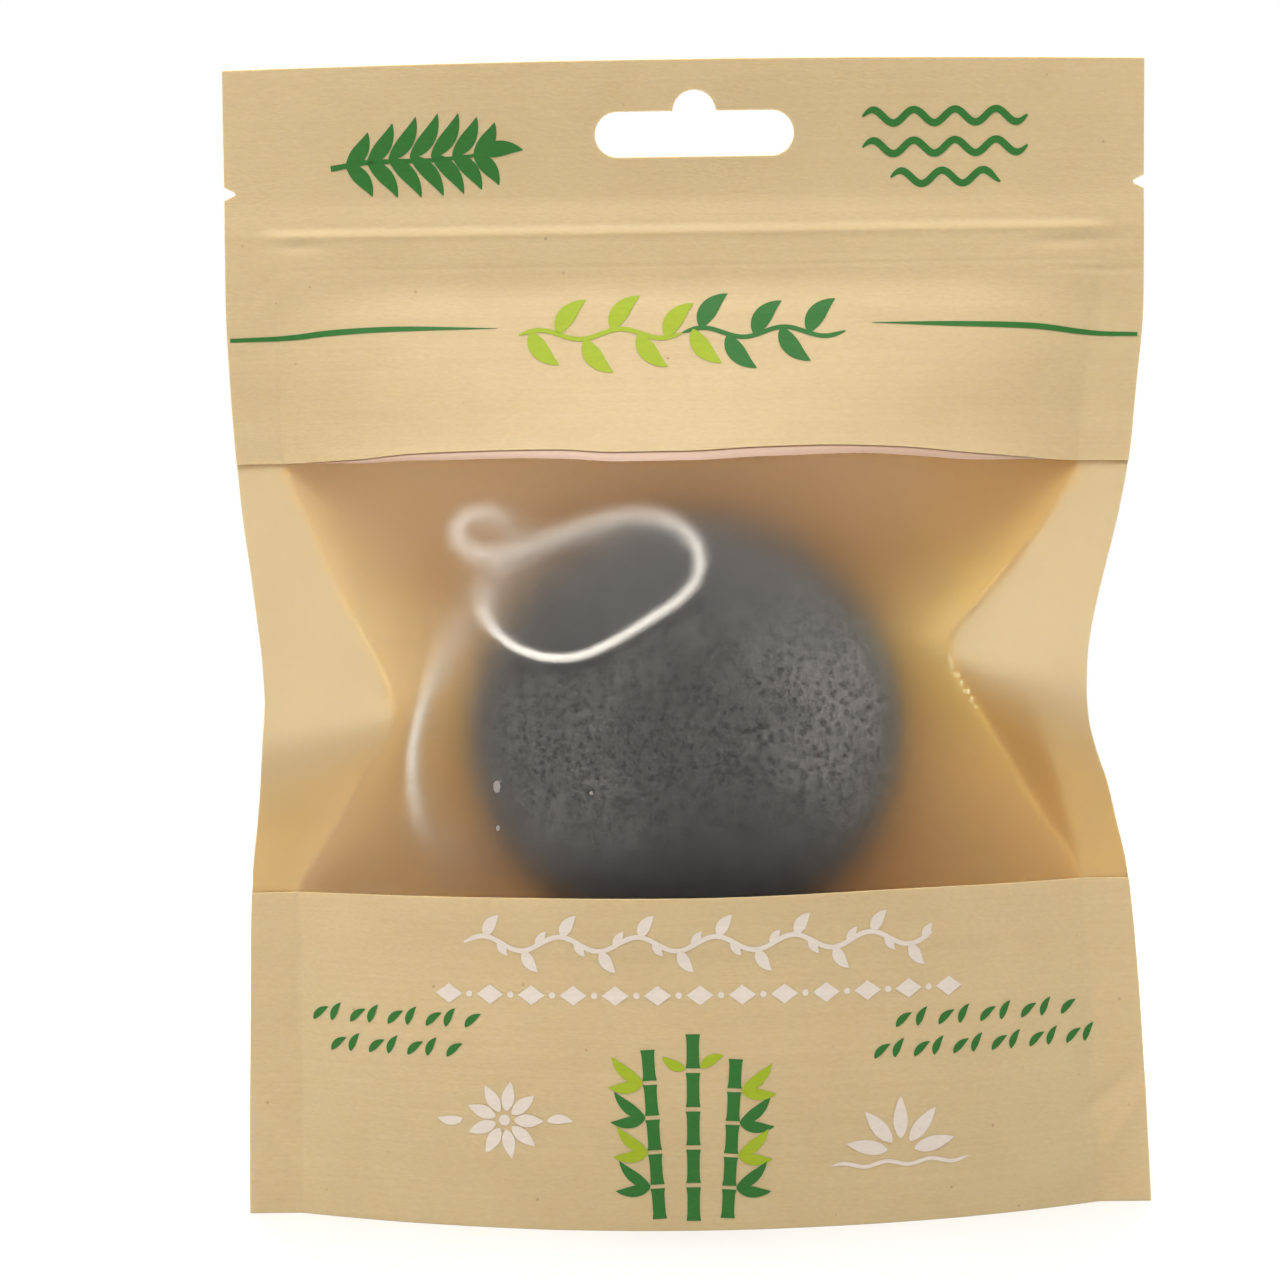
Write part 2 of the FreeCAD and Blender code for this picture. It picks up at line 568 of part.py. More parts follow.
mouth = new_sketch(konjac_sponge, "channel_mouth", "XZ_Plane", "-sizes.sponge_set_back")
ring = mouth.addGeometry(Part.Circle(vec(0, 0, 0), vec(0, 0, 1), number("sizes.channel_diameter / 2")))
mouth.addConstraint(rule("Coincident", ring, 3, -1, 1))
tie(mouth, "channel", rule("Diameter", ring, number("sizes.channel_diameter")), "sizes.channel_diameter")
channel = konjac_sponge.newObject("PartDesign::Pocket", "cord_channel")
channel.Profile = mouth
channel.Reversed = True
channel.setExpression("Length", "sizes.channel_depth")
doc.recompute()

# Knot that holds both cord ends at the bottom of the channel.
cord_knot = doc.addObject("Part::Sphere", "cord_knot")
cord_knot.Label = "cord_knot"
KNOT_SEAT = "(sizes.sponge_set_back - sizes.channel_depth + sizes.zip_gap + sizes.knot_diameter / 2)"
cord_knot.setExpression("Radius", "sizes.knot_diameter / 2")
cord_knot.setExpression("Placement.Base.x", "sizes.sponge_offset")
cord_knot.setExpression("Placement.Base.y", f"{SEAM} + {KNOT_SEAT}")
cord_knot.setExpression("Placement.Base.z", CENTRE)
doc.recompute()

# Cord route, from the knot out at the back, up the left side, round one small curl,
# over the front of the sponge and back to the knot.
CORD_ROUTE = (
    (-2.0, 9.3, 76.8),
    (-2.0, 12.8, 76.8),
    (-2.9, 17.0, 75.8),
    (-6.4, 18.5, 72.8),
    (-11.6, 17.4, 68.6),
    (-18.6, 16.6, 64.2),
    (-26.7, 14.8, 59.2),
    (-34.6, 10.2, 56.2),
    (-40.6, 4.8, 57.8),
    (-43.8, 1.2, 63.4),
    (-44.4, -0.4, 70.2),
    (-43.6, -1.2, 76.6),
    (-40.8, -1.4, 83.6),
    (-36.8, -1.2, 90.4),
    (-33.0, -0.8, 96.6),
    (-30.1, -1.2, 101.8),
    (-29.3, -1.7, 106.5),
    (-30.9, -2.3, 110.5),
    (-34.4, -3.1, 112.7),
    (-38.5, -3.8, 111.5),
    (-40.5, -4.6, 107.7),
    (-38.6, -5.4, 103.9),
    (-34.2, -6.0, 102.9),
    (-28.0, -6.5, 105.0),
    (-21.2, -6.8, 108.0),
    (-14.0, -7.0, 110.2),
    (-7.6, -8.1, 111.1),
    (-2.4, -10.8, 109.7),
    (0.7, -14.2, 105.6),
    (0.4, -16.6, 100.2),
    (-3.8, -17.7, 95.8),
    (-9.4, -18.1, 92.2),
    (-15.4, -17.8, 89.2),
    (-21.6, -16.6, 88.2),
    (-27.6, -13.7, 89.8),
    (-32.2, -9.2, 93.2),
    (-35.0, -5.7, 97.7),
    (-34.4, -1.7, 102.6),
    (-30.2, 3.5, 105.2),
    (-24.6, 9.0, 104.7),
    (-19.8, 13.6, 100.8),
    (-15.6, 16.2, 95.0),
    (-11.0, 17.5, 89.0),
    (-6.4, 18.5, 83.8),
    (-2.1, 18.4, 80.0),
    (-0.3, 16.0, 77.3),
    (-0.4, 12.5, 76.8),
    (-0.4, 9.3, 76.8),
)
BEND_SHARE = 0.45


def cord_path(points):
    """Straight runs joined by tangent arcs, and the radius of each arc."""
    edges = []
    radii = []
    start = points[0]
    for before, corner, after in zip(points, points[1:], points[2:]):
        come = before - corner
        leave = after - corner
        reach = min(come.Length, leave.Length) * BEND_SHARE
        come.normalize()
        leave.normalize()
        half_turn = (math.pi - come.getAngle(leave)) / 2
        bend = reach / math.tan(half_turn)
        first = corner + come * reach
        last = corner + leave * reach
        inward = come + leave
        inward.normalize()
        middle = corner + inward * (bend / math.cos(half_turn) - bend)
        edges.append(Part.LineSegment(start, first).toShape())
        edges.append(Part.Arc(first, middle, last).toShape())
        radii.append(bend)
        start = last
    edges.append(Part.LineSegment(start, points[-1]).toShape())
    return Part.Wire(edges), radii


route = [vec(*point) for point in CORD_ROUTE]
path, radii = cord_path(route)
cord_width = number("sizes.cord_diameter")
heading = route[1] - route[0]
ring = Part.Wire([Part.Circle(route[0], heading, cord_width / 2).toShape()])
hanging_cord = doc.addObject("Part::Feature", "hanging_cord")
hanging_cord.Label = "hanging_cord"
hanging_cord.Shape = path.makePipeShell([ring], True, False)
hanging_cord.Placement = FreeCAD.Placement()
doc.recompute()
plain_volume = math.pi * cord_width ** 2 / 4 * path.Length
print("cord bend radii", [round(bend, 1) for bend in radii])
print("cord volume share", round(hanging_cord.Shape.Volume / plain_volume, 3), "length", round(path.Length, 1))

for item in doc.Objects:
    if "Invalid" in item.State or "Error" in item.State:
        raise RuntimeError(f"{item.Name} did not build")

NODES = (front_upper_band, window_film, front_lower_band, back_panel, bottom_gusset, zip_rib_strip,
         zip_groove_strip, header_front_ply, header_back_ply, konjac_sponge, hanging_cord, cord_knot)
for node in NODES:
    if node.Shape.isNull() or not node.Shape.isValid():
        raise RuntimeError(f"{node.Label} has no valid shape")
for node in NODES:
    node.Shape.exportStep(f"parts/{node.Label}.step")
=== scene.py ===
"""Looks of a konjac sponge in a kraft window pouch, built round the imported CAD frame.

Tables and formulas are in millimetres and meshes are written in metres. X is the pouch's
right seen from the front, the front faces -Y and Z is up. Depth means the distance in front
of the seam plane, where the front and the back of the pouch are sealed together.
"""

import itertools
import math

import bpy
import numpy as np
from mathutils import Matrix


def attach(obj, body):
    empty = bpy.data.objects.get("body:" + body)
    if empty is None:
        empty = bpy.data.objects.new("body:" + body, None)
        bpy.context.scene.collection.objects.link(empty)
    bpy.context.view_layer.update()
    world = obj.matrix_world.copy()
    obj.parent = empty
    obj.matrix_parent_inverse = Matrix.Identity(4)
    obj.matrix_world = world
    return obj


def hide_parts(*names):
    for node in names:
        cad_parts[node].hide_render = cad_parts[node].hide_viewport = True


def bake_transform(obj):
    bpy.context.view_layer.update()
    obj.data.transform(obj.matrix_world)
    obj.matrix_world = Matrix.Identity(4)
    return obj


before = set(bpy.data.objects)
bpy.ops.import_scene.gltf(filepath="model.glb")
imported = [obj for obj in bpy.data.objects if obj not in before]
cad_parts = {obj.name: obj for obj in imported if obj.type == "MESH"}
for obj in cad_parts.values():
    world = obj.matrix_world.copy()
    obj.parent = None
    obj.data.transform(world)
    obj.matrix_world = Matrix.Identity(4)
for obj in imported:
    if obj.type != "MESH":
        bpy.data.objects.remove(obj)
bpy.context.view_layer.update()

MM = 0.001
SEAM = 3.2  # y of the seam plane
PAPER, FILM, INK = 0.3, 0.15, 0.03  # thicknesses
HALF_WIDTH = 73.0  # of the pouch, about
LAP = 5.0  # of the film behind the paper

SPONGE_X, SPONGE_Z = -1.2, 76.8  # the sponge's middle in the front view
SLIDE = 6.0  # how far the sponge can slide up
RIM = 35.0  # the sponge's radius
RIM_DEPTH = 2.35  # depth of its widest ring
CROWN, CROWN_TOP, CROWN_END = 70.0, 22.5, 23.77  # radius, depth of the top, radius of the edge
SHOULDER, SHOULDER_RING = 17.0, 18.0  # radius, and radius of the ring of its centres
SHOULDER_START = math.atan2(15.99, 5.77)  # its angle where the crown runs into it
HEEL, HEEL_RING = 13.85, 21.15  # the same for the heel
BACK = 11.5  # the flat back is this far behind the seam plane
BESIDE = -40.0  # depth given beside the sponge, where it presses on nothing


# ---- smooth lines and noise


def through(at, places, values):
    """Smooth line through set points: cubics whose slope at a point is the harmonic mean of the
    slopes beside it, or level where these differ in sign."""
    places, values = np.asarray(places, float), np.asarray(values, float)
    run = np.diff(values) / np.diff(places)
    both = run[:-1] * run[1:]
    inner = np.where(both > 0, 2 * both / np.where(both > 0, run[:-1] + run[1:], 1), 0)
    slope = np.concatenate([run[:1], inner, run[-1:]])
    at = np.clip(at, places[0], places[-1])
    i = np.clip(np.searchsorted(places, at, side="right") - 1, 0, len(places) - 2)
    step = places[i + 1] - places[i]
    t = (at - places[i]) / step
    return (
        values[i] * (1 + 2 * t) * (1 - t) ** 2
        + values[i + 1] * t * t * (3 - 2 * t)
        + step * t * (1 - t) * (slope[i] * (1 - t) - slope[i + 1] * t)
    )


def ease(low, high, at):
    """0 below low, 1 above high, and an S-shaped rise between them."""
    t = np.clip((at - low) / (high - low), 0, 1)
    return t * t * (3 - 2 * t)


def bell(at, middle, width):
    """Bell curve: 1 at its middle, and about a third one width away."""
    return np.exp(-(((at - middle) / width) ** 2))


def higher(a, b, soften):
    """The higher of two surfaces, with the corner between them rounded over that width."""
    return 0.5 * (a + b + np.sqrt((a - b) ** 2 + soften**2))


def mixed(a, b, share):
    """Colour between two colours, by an array of shares of the second."""
    return (1 - share[..., None]) * a + share[..., None] * b


def lumps(cell, seed, *coordinates):
    """Smooth random heights from -1 to 1: a random number at each corner of a lattice, blended
    with eased weights."""
    p = np.stack(np.broadcast_arrays(*coordinates), axis=-1) / cell + 1000.0
    base = np.floor(p)
    part = (p - base) ** 2 * (3 - 2 * (p - base))
    base = base.astype(np.int64)
    primes = np.array([73856093, 19349663, 83492791])[: p.shape[-1]]
    total = 0.0
    for corner in itertools.product((0, 1), repeat=p.shape[-1]):
        key = ((base + np.array(corner)) * primes).sum(-1) + seed * 668265263
        key = (key ^ (key >> 15)) * 2246822519 & 0xFFFFFFFF
        key = (key ^ (key >> 13)) * 3266489917 & 0xFFFFFFFF
        weight = np.where(corner, part, 1 - part).prod(-1)
        total = total + ((key ^ (key >> 16)) / 2147483648.0 - 1.0) * weight
    return total


def run_length(points):
    """Distance along a line of points, from the first one to each."""
    return np.concatenate([[0], np.cumsum(np.linalg.norm(np.diff(points, axis=0), axis=1))])


def spaced(*runs):
    """Numbers evenly spaced within each run of start, end and count."""
    return np.concatenate([np.linspace(*run) for run in runs])


def circle(count):
    """Angles evenly spaced round a circle."""
    return np.linspace(0, 2 * np.pi, count, endpoint=False)


def cos_sin(degrees):
    """Cosine and sine of an angle."""
    return math.cos(math.radians(degrees)), math.sin(math.radians(degrees))


# ---- meshes


def mesh_piece(name, points, *face_sets, sharp=180):
    """One object at the origin from points in millimetres and arrays of triangles or quads.
    Edges that turn by more than the sharp angle don't round into their faces."""
    used = np.unique(np.concatenate([f.ravel() for f in face_sets]))
    renumber = np.zeros(len(points), np.int64)
    renumber[used] = np.arange(len(used))
    corners = np.concatenate([renumber[f].ravel() for f in face_sets])
    sizes = np.concatenate([np.full(len(f), f.shape[1]) for f in face_sets])
    mesh = bpy.data.meshes.new(name)
    mesh.vertices.add(len(used))
    mesh.vertices.foreach_set("co", (points[used] * MM).astype(np.float32).ravel())
    mesh.loops.add(len(corners))
    mesh.loops.foreach_set("vertex_index", corners.astype(np.int32))
    mesh.polygons.add(len(sizes))
    mesh.polygons.foreach_set("loop_start", (np.cumsum(sizes) - sizes).astype(np.int32))
    mesh.update(calc_edges=True)
    mesh.validate()
    mesh.shade_smooth()
    if sharp < 180:
        mesh.set_sharp_from_angle(angle=math.radians(sharp))
    piece = bpy.data.objects.new(name, mesh)
    bpy.context.collection.objects.link(piece)
    return piece


def grid_quads(rows, columns, wrap=False, ring=False):
    """Quads of a grid of points in row order. With wrap the last column joins the first one,
    with ring the last row."""
    index = np.arange(rows * columns).reshape(rows, columns)
    if wrap:
        index = np.column_stack([index, index[:, :1]])
    if ring:
        index = np.vstack([index, index[:1]])
    corners = index[:-1, :-1], index[:-1, 1:], index[1:, 1:], index[1:, :-1]
    return np.stack(corners, axis=-1).reshape(-1, 4)


def tube_faces(rows, columns, turned=False):
    """Faces of a tube: its grid of rows, and at each end a fan to a middle point. These two
    points follow those of the grid."""
    count = rows * columns
    here = np.arange(columns)
    ahead = np.roll(here, -1)
    last_row = count - columns
    first = np.column_stack([np.full(columns, count), ahead, here])
    last = np.column_stack([np.full(columns, count + 1), here + last_row, ahead + last_row])
    faces = grid_quads(rows, columns, wrap=True), np.vstack([first, last])
    return [f[:, ::-1] for f in faces] if turned else faces


def closed_sheet(name, outer, inner, quads):
    """Sheet with thickness: the outer face, the inner face turned round, and a rim of quads."""
    n = len(outer)
    edges = np.stack([quads, np.roll(quads, -1, axis=1)], axis=2).reshape(-1, 2)
    _, first, count = np.unique(
        np.sort(edges, axis=1), axis=0, return_index=True, return_counts=True
    )
    rim = edges[first[count == 1]]
    rim = np.column_stack([rim[:, 1], rim[:, 0], rim[:, 0] + n, rim[:, 1] + n])
    points = np.vstack([outer, inner])
    return mesh_piece(name, points, quads, quads[:, ::-1] + n, rim, sharp=50)


def layer(x, z, depth):
    """Points at a depth in front of the seam plane."""
    return np.stack([x, SEAM - depth, z], axis=-1).reshape(-1, 3)


def laid_sheet(name, x, z, outer, inner, quads):
    """Closed sheet between two depths over the same points of the front view."""
    return closed_sheet(name, layer(x, z, outer), layer(x, z, inner), quads)


# ---- camera

CAMERA_AWAY = 450.0  # from the seam plane
CAMERA_X, CAMERA_Z, CAMERA_ROLL = -8.4, 91.2, 0.83
PHOTO_PIXELS, PIXELS_PER_MM = 1280, 6.22
SENSOR = 36.0


def place_camera():
    """Camera square to the seam plane, turned slightly about its line of sight."""
    data = bpy.data.cameras.new("photo_camera")
    data.sensor_width = SENSOR
    data.lens = SENSOR * CAMERA_AWAY / (PHOTO_PIXELS / PIXELS_PER_MM)
    data.clip_start, data.clip_end = 0.01, 30.0
    camera = bpy.data.objects.new("photo_camera", data)
    bpy.context.collection.objects.link(camera)
    c, s = cos_sin(CAMERA_ROLL)
    x, y, z = CAMERA_X * MM, (SEAM - CAMERA_AWAY) * MM, CAMERA_Z * MM
    camera.matrix_world = Matrix(((c, s, 0, x), (0, 0, -1, y), (-s, c, 0, z), (0, 0, 0, 1)))
    bpy.context.scene.camera = camera


place_camera()


# ---- hanging cord

CORD_ROUTE = np.array(
    [
        (-2.0, 9.3, 76.8), (-2.0, 12.8, 76.8), (-2.9, 17.0, 75.8), (-6.4, 18.5, 72.8),
        (-11.6, 17.4, 68.6), (-18.6, 16.6, 64.2), (-26.7, 14.8, 59.0), (-35.0, 10.2, 55.6),
        (-41.4, 4.2, 57.4), (-44.4, 0.0, 63.4), (-45.0, -1.7, 70.4), (-44.4, -2.0, 77.0),
        (-42.0, -1.6, 84.0), (-38.6, -0.6, 90.6), (-35.0, 1.2, 96.2), (-31.0, 2.0, 101.2),
        (-27.3, -1.4, 106.0), (-28.4, -4.0, 109.8), (-32.2, -5.0, 111.9), (-36.0, -5.2, 111.0),
        (-37.3, -5.7, 108.3), (-35.7, -6.5, 105.6), (-31.8, -7.5, 104.4), (-27.2, -8.4, 105.0),
        (-22.6, -8.8, 106.9), (-17.0, -8.8, 108.8), (-11.6, -8.8, 110.2), (-6.6, -9.4, 110.6),
        (-2.2, -11.0, 109.2), (0.9, -14.0, 105.6), (1.2, -16.3, 101.0), (-2.0, -17.4, 97.2),
        (-6.8, -17.9, 94.3), (-12.2, -18.1, 91.0), (-17.6, -17.8, 88.6), (-22.9, -16.8, 88.5),
        (-27.8, -15.2, 90.2), (-31.4, -12.6, 93.2), (-33.1, -8.8, 96.8), (-32.4, -4.8, 100.6),
        (-29.8, -2.2, 103.9), (-27.2, 3.0, 105.6), (-24.2, 9.0, 104.5), (-19.8, 13.6, 100.8),
        (-15.6, 16.2, 95.0), (-11.0, 17.5, 89.0), (-6.4, 18.5, 83.8), (-2.1, 18.4, 80.0),
        (-0.3, 16.0, 77.3), (-0.4, 12.5, 76.8), (-0.4, 9.3, 76.8),
    ]
)
CORD_DIAMETER, CORD_PLIES, CORD_PITCH = 1.3, 3, 6.0
CORD_STEP = 0.4  # between the rings of points along the cord


def cord_line():
    """Points along the route's smooth NURBS line, evenly spaced, and its length."""
    data = bpy.data.curves.new("cord_route", "CURVE")
    data.dimensions = "3D"
    data.resolution_u = 16
    spline = data.splines.new("NURBS")
    spline.points.add(len(CORD_ROUTE) - 1)
    spline.points.foreach_set(
        "co", np.column_stack([CORD_ROUTE * MM, np.ones(len(CORD_ROUTE))]).ravel()
    )
    spline.order_u = 3
    spline.use_endpoint_u = True
    holder = bpy.data.objects.new("cord_route", data)
    line = bpy.data.meshes.new_from_object(holder)
    points = np.empty(len(line.vertices) * 3)
    line.vertices.foreach_get("co", points)
    points = points.reshape(-1, 3) / MM
    bpy.data.objects.remove(holder)
    bpy.data.curves.remove(data)
    bpy.data.meshes.remove(line)
    along = run_length(points)
    length = along[-1]
    even = np.linspace(0, length, int(length / CORD_STEP))
    return np.column_stack([np.interp(even, along, points[:, k]) for k in range(3)]), length


def swept_ring(path, radius, angle, closed=False):
    """Points of a tube: a ring round each point of a path, whose two side directions are carried
    on from the point before by the smallest turn."""
    tangent = np.gradient(path, axis=0)
    if closed:
        tangent = np.roll(path, -1, axis=0) - np.roll(path, 1, axis=0)
    tangent /= np.linalg.norm(tangent, axis=1, keepdims=True)

    def carry(side, direction):
        side = side - direction * (side @ direction)
        return side / np.linalg.norm(side)

    start = carry(np.cross(tangent[0], (0.31, 0.17, 0.93)), tangent[0])
    side = np.array(list(itertools.accumulate(tangent[1:], carry, initial=start)))
    other = np.cross(tangent, side)
    c, s = np.cos(angle)[None, :, None], np.sin(angle)[None, :, None]
    return path[:, None] + radius * (c * side[:, None] + s * other[:, None])


def twisted_cord(name, path, around=24):
    """Tube along a path. Its radius swells at each ply, and the plies turn once in each pitch."""
    angle = circle(around)
    turn = angle[None, :] - 2 * np.pi * run_length(path)[:, None] / CORD_PITCH
    swell = np.abs(np.cos(CORD_PLIES * turn / 2)) ** 0.8
    radius = CORD_DIAMETER / 2 * (0.87 + 0.13 * swell)
    ring = swept_ring(path, radius[..., None], angle)
    points = np.vstack([ring.reshape(-1, 3), path[:1], path[-1:]])
    return mesh_piece(name, points, *tube_faces(len(path), around))


def cord_knot(name, along=120, around=14):
    """Overhand knot: a tube along the trefoil line, (sin t + 2 sin 2t, cos t - 2 cos 2t,
    -1.2 sin 3t), drawn small."""
    t = circle(along)
    wide, deep = np.sin(t) + 2 * np.sin(2 * t), -1.2 * np.sin(3 * t)
    path = np.column_stack([wide, deep, np.cos(t) - 2 * np.cos(2 * t)]) * (1.05 / 3.0)
    path = path + (SPONGE_X, 7.5, SPONGE_Z)
    ring = swept_ring(path, 0.5, circle(around), closed=True)
    return mesh_piece(name, ring.reshape(-1, 3), grid_quads(along, around, wrap=True, ring=True))


# ---- form of the pouch

# heights, and x of the pouch's edges and of its fold lines there
LEFT_EDGE = (
    (0, 15, 34, 48, 55, 64, 70, 76, 82, 88, 96, 104, 112, 122, 132, 147, 190),
    (-72.4, -72.2, -71.8, -71.5, -71.1, -69.9, -69.1, -68.5, -68.2,
     -68.6, -69.6, -70.7, -71.9, -72.9, -73.6, -74.2, -74.2),
)
RIGHT_EDGE = (
    (0, 15, 34, 44, 53, 62, 68, 73, 78, 82, 87, 92, 97, 102, 111, 120, 130, 145, 190),
    (72.4, 71.9, 71.0, 70.3, 69.4, 67.4, 65.8, 63.9, 62.5, 62.1,
     62.4, 63.3, 64.6, 66.1, 68.7, 70.6, 71.8, 73.3, 74.0),
)
LEFT_FOLD = (
    (0, 40, 50, 52.5, 57.2, 63.2, 72.1, 77.2, 80, 82.5, 88, 99.5, 110.7, 119.8, 122, 150, 190),
    (-63.9, -63.6, -63.8, -63.6, -60.5, -56.7, -51.4, -48.2, -47.6,
     -47.9, -50.2, -56.1, -61.1, -65.2, -65.4, -65.7, -65.7),
)
RIGHT_FOLD = (
    (0, 40, 50, 53, 61, 69.1, 80.7, 86.2, 88.2,
     90.4, 92.7, 98.5, 104.5, 112, 119, 122, 150, 190),
    (63.9, 62.4, 61.6, 61.3, 56.6, 51.5, 44.5, 41.0, 40.4,
     40.7, 42.0, 47.2, 52.5, 58.4, 62.2, 62.5, 65.2, 65.5),
)
# heights, and depth of the front and of the back halfway between the fold lines
FRONT_CROWN = (
    (0, 20.7, 41.5, 51, 57, 63, 70, 77, 84, 92, 99, 105, 112, 120.5, 128, 136, 143, 150),
    (18.0, 20.0, 20.8, 22.0, 22.9, 23.1, 22.8, 22.5, 22.5,
     22.7, 22.5, 21.5, 18.4, 13.4, 9.4, 5.6, 2.9, 1.0),
)
BACK_CROWN = (
    (0, 20.7, 41.5, 80, 94, 104, 112, 120.5, 128, 136, 143, 150),
    (16.0, 17.4, 18.5, 18.5, 18.3, 17.0, 14.6, 11.1, 8.0, 4.8, 2.6, 1.0),
)
# x, and height of the window's upper and lower edges there
LINTEL = (
    (-74, -65.7, -54, -42.6, -30, -20.4, -11, 0, 10.7, 23.3, 34.5, 45.8, 56, 62.3, 72),
    (120.3, 120.3, 120.5, 121.2, 121.3, 121.2, 120.6, 120.6,
     121.1, 121.4, 121.1, 120.2, 119.5, 119.1, 119.0),
)
SILL = ((-74, -63, -30, 0, 37, 62, 72), (51.5, 51.6, 51.7, 51.6, 52.1, 52.0, 52.0))
# x, z, turn in degrees, length, width and height of the dents and soft folds in the laminate
FOLDS = (
    (-62.1, 155.0, 0, 3.4, 0.8, -0.32), (-67.4, 149.2, 75, 2.4, 1.4, -0.34),
    (62.0, 154.4, 2, 6.5, 0.9, -0.36), (67.4, 149.7, 0, 8.0, 0.5, -0.16),
    (-66.0, 146.0, 90, 6.0, 0.7, -0.10), (66.2, 143.0, 90, 8.0, 0.7, -0.12),
    (68.0, 13.0, 58, 7.0, 1.3, 0.42), (65.2, 17.5, 40, 6.0, 1.2, -0.34),
    (69.6, 7.0, 66, 5.0, 1.1, -0.26), (-67.5, 11.0, -52, 6.0, 1.3, 0.26),
    (-64.5, 35.0, 84, 9.0, 1.2, -0.16), (63.8, 39.0, 96, 8.0, 1.2, -0.16),
    (-46.0, 118.5, 12, 9.0, 2.2, 0.16), (18.0, 126.0, -6, 10.0, 1.6, 0.14),
    (-14.0, 124.0, 20, 5.0, 1.2, -0.12),
)
WING_FOOT, WING_TOP = 50.0, 121.0  # heights where the side wings lie flat again
ZIP_FOOT, ZIP_START = 143.0, 150.0  # the sheets part below the zip between these heights
ZIP_END, ZIP_HEAD = 156.3, 158.3  # and close above it between these
GAP = 0.02  # least distance of a sheet from the seam plane


def side_edges(z):
    """x of the pouch's left and right edges, which draw in towards the waist."""
    return through(z, *LEFT_EDGE), through(z, *RIGHT_EDGE)


def fold_lines(z):
    """x of the two fold lines: straight beside the side seals, and drawn in to a V at both sides
    of the window."""
    return through(z, *LEFT_FOLD), through(z, *RIGHT_FOLD)


def lintel(x):
    """Height of the window's upper edge."""
    return through(x, *LINTEL)


def sill(x):
    """Height of the window's lower edge."""
    return through(x, *SILL)


def top_edge(x):
    """Height of the header's top edge, which is slightly crowned."""
    return 183.5 + 0.55 * (1 - (x / HALF_WIDTH) ** 2)


def wing_crease(x):
    """Height of the crease across a side wing: a line from the tip of the V to the waist."""
    return np.where(x < 0, 78.5 + 0.21 * (x + 48.0), 87.6 - 0.33 * (x - 40.5))


def wing_lift(x, z):
    """How far a side wing stands forward: most along its crease, fading up to the lintel and
    faster down to the sill. A mean over five heights rounds the crease, more so at the edge."""
    crease = wing_crease(x)
    rounding = 1.0 + np.where(x < 0, 0.1, 0.2) * np.clip(np.abs(x) - 42.0, 0, 28)
    lift = 0.0
    for share, shift in zip((1, 2, 3, 2, 1), (-1, -0.5, 0, 0.5, 1)):
        over = z - crease + shift * rounding
        above = np.clip(1 - over / (WING_TOP - crease), 0, 1) ** 1.35
        below = np.clip(1 + over / (crease - WING_FOOT), 0, 1) ** np.where(x < 0, 2.2, 2.6)
        lift = lift + share / 9 * np.where(over > 0, above, below)
    return np.where(x < 0, 6.8, 8.6) * lift


def across(x, z):
    """Place between the fold lines, from -1 to 1, and the wings' lift carried in from both."""
    left, right = fold_lines(z)
    t = (x - (left + right) / 2) / ((right - left) / 2)
    inside = np.clip(t, -1, 1)
    chord = wing_lift(left, z) * (1 - inside) / 2 + wing_lift(right, z) * (1 + inside) / 2
    return t, np.where(np.abs(t) < 1, chord, wing_lift(x, z))


def creasing(x, z):
    """Slight broad and small waves of the laminate, flatter in the header, and the set folds:
    each is a bell across its width and along its length."""
    calm = 1 - 0.75 * ease(150, 160, z)
    waves = calm * (0.22 * lumps(21.0, 3, x, z) + 0.08 * lumps(8.0, 4, x, z * 1.6))
    for fold_x, fold_z, turn, long, wide, high in FOLDS:
        c, s = cos_sin(turn)
        along = (x - fold_x) * c + (z - fold_z) * s
        aside = (z - fold_z) * c - (x - fold_x) * s
        waves = waves + high * bell(along, 0, long) * bell(aside, 0, wide)
    return waves


def sponge_faces(x, z):
    """Depth of the sponge's front, a wide crown that runs into a rounder shoulder, and of its
    back, counted backwards: flat, and rounded to the rim."""
    r = np.hypot(x - SPONGE_X, z - SPONGE_Z)

    def arc(ring, radius):
        return np.sqrt(np.maximum(radius**2 - (r - ring) ** 2, 0))

    crown, shoulder = CROWN_TOP - CROWN + arc(0, CROWN), RIM_DEPTH + arc(SHOULDER_RING, SHOULDER)
    front = np.where(r < CROWN_END, crown, np.where(r < RIM, shoulder, BESIDE))
    heel = arc(HEEL_RING, HEEL) - RIM_DEPTH
    return front, np.where(r < HEEL_RING, BACK, np.where(r < RIM, heel, BESIDE))


def zip_swell(t, z, line=0.0):
    """Swell of a sheet over the zip, and a line on it, both crushed in the side seals."""
    body = 0.66 * ease(ZIP_FOOT, ZIP_START, z) * (1 - ease(ZIP_END, ZIP_HEAD, z))
    return (body + line) * ease(1.06, 0.97, np.abs(t))


def arching(t, z, fuller=0.0):
    """Arch between the fold lines, 1 - t to a power: 2 in most places, more beside the sponge's
    top and towards the zip, where it ends."""
    power = 2 + fuller + 0.9 * bell(z, 101.0, 11.0) + 3.0 * ease(122.0, 146.0, z)
    arch = np.clip(1 - np.minimum(np.abs(t), 1) ** power, 0, 1)
    return arch * (1 - ease(ZIP_FOOT, ZIP_START, z))


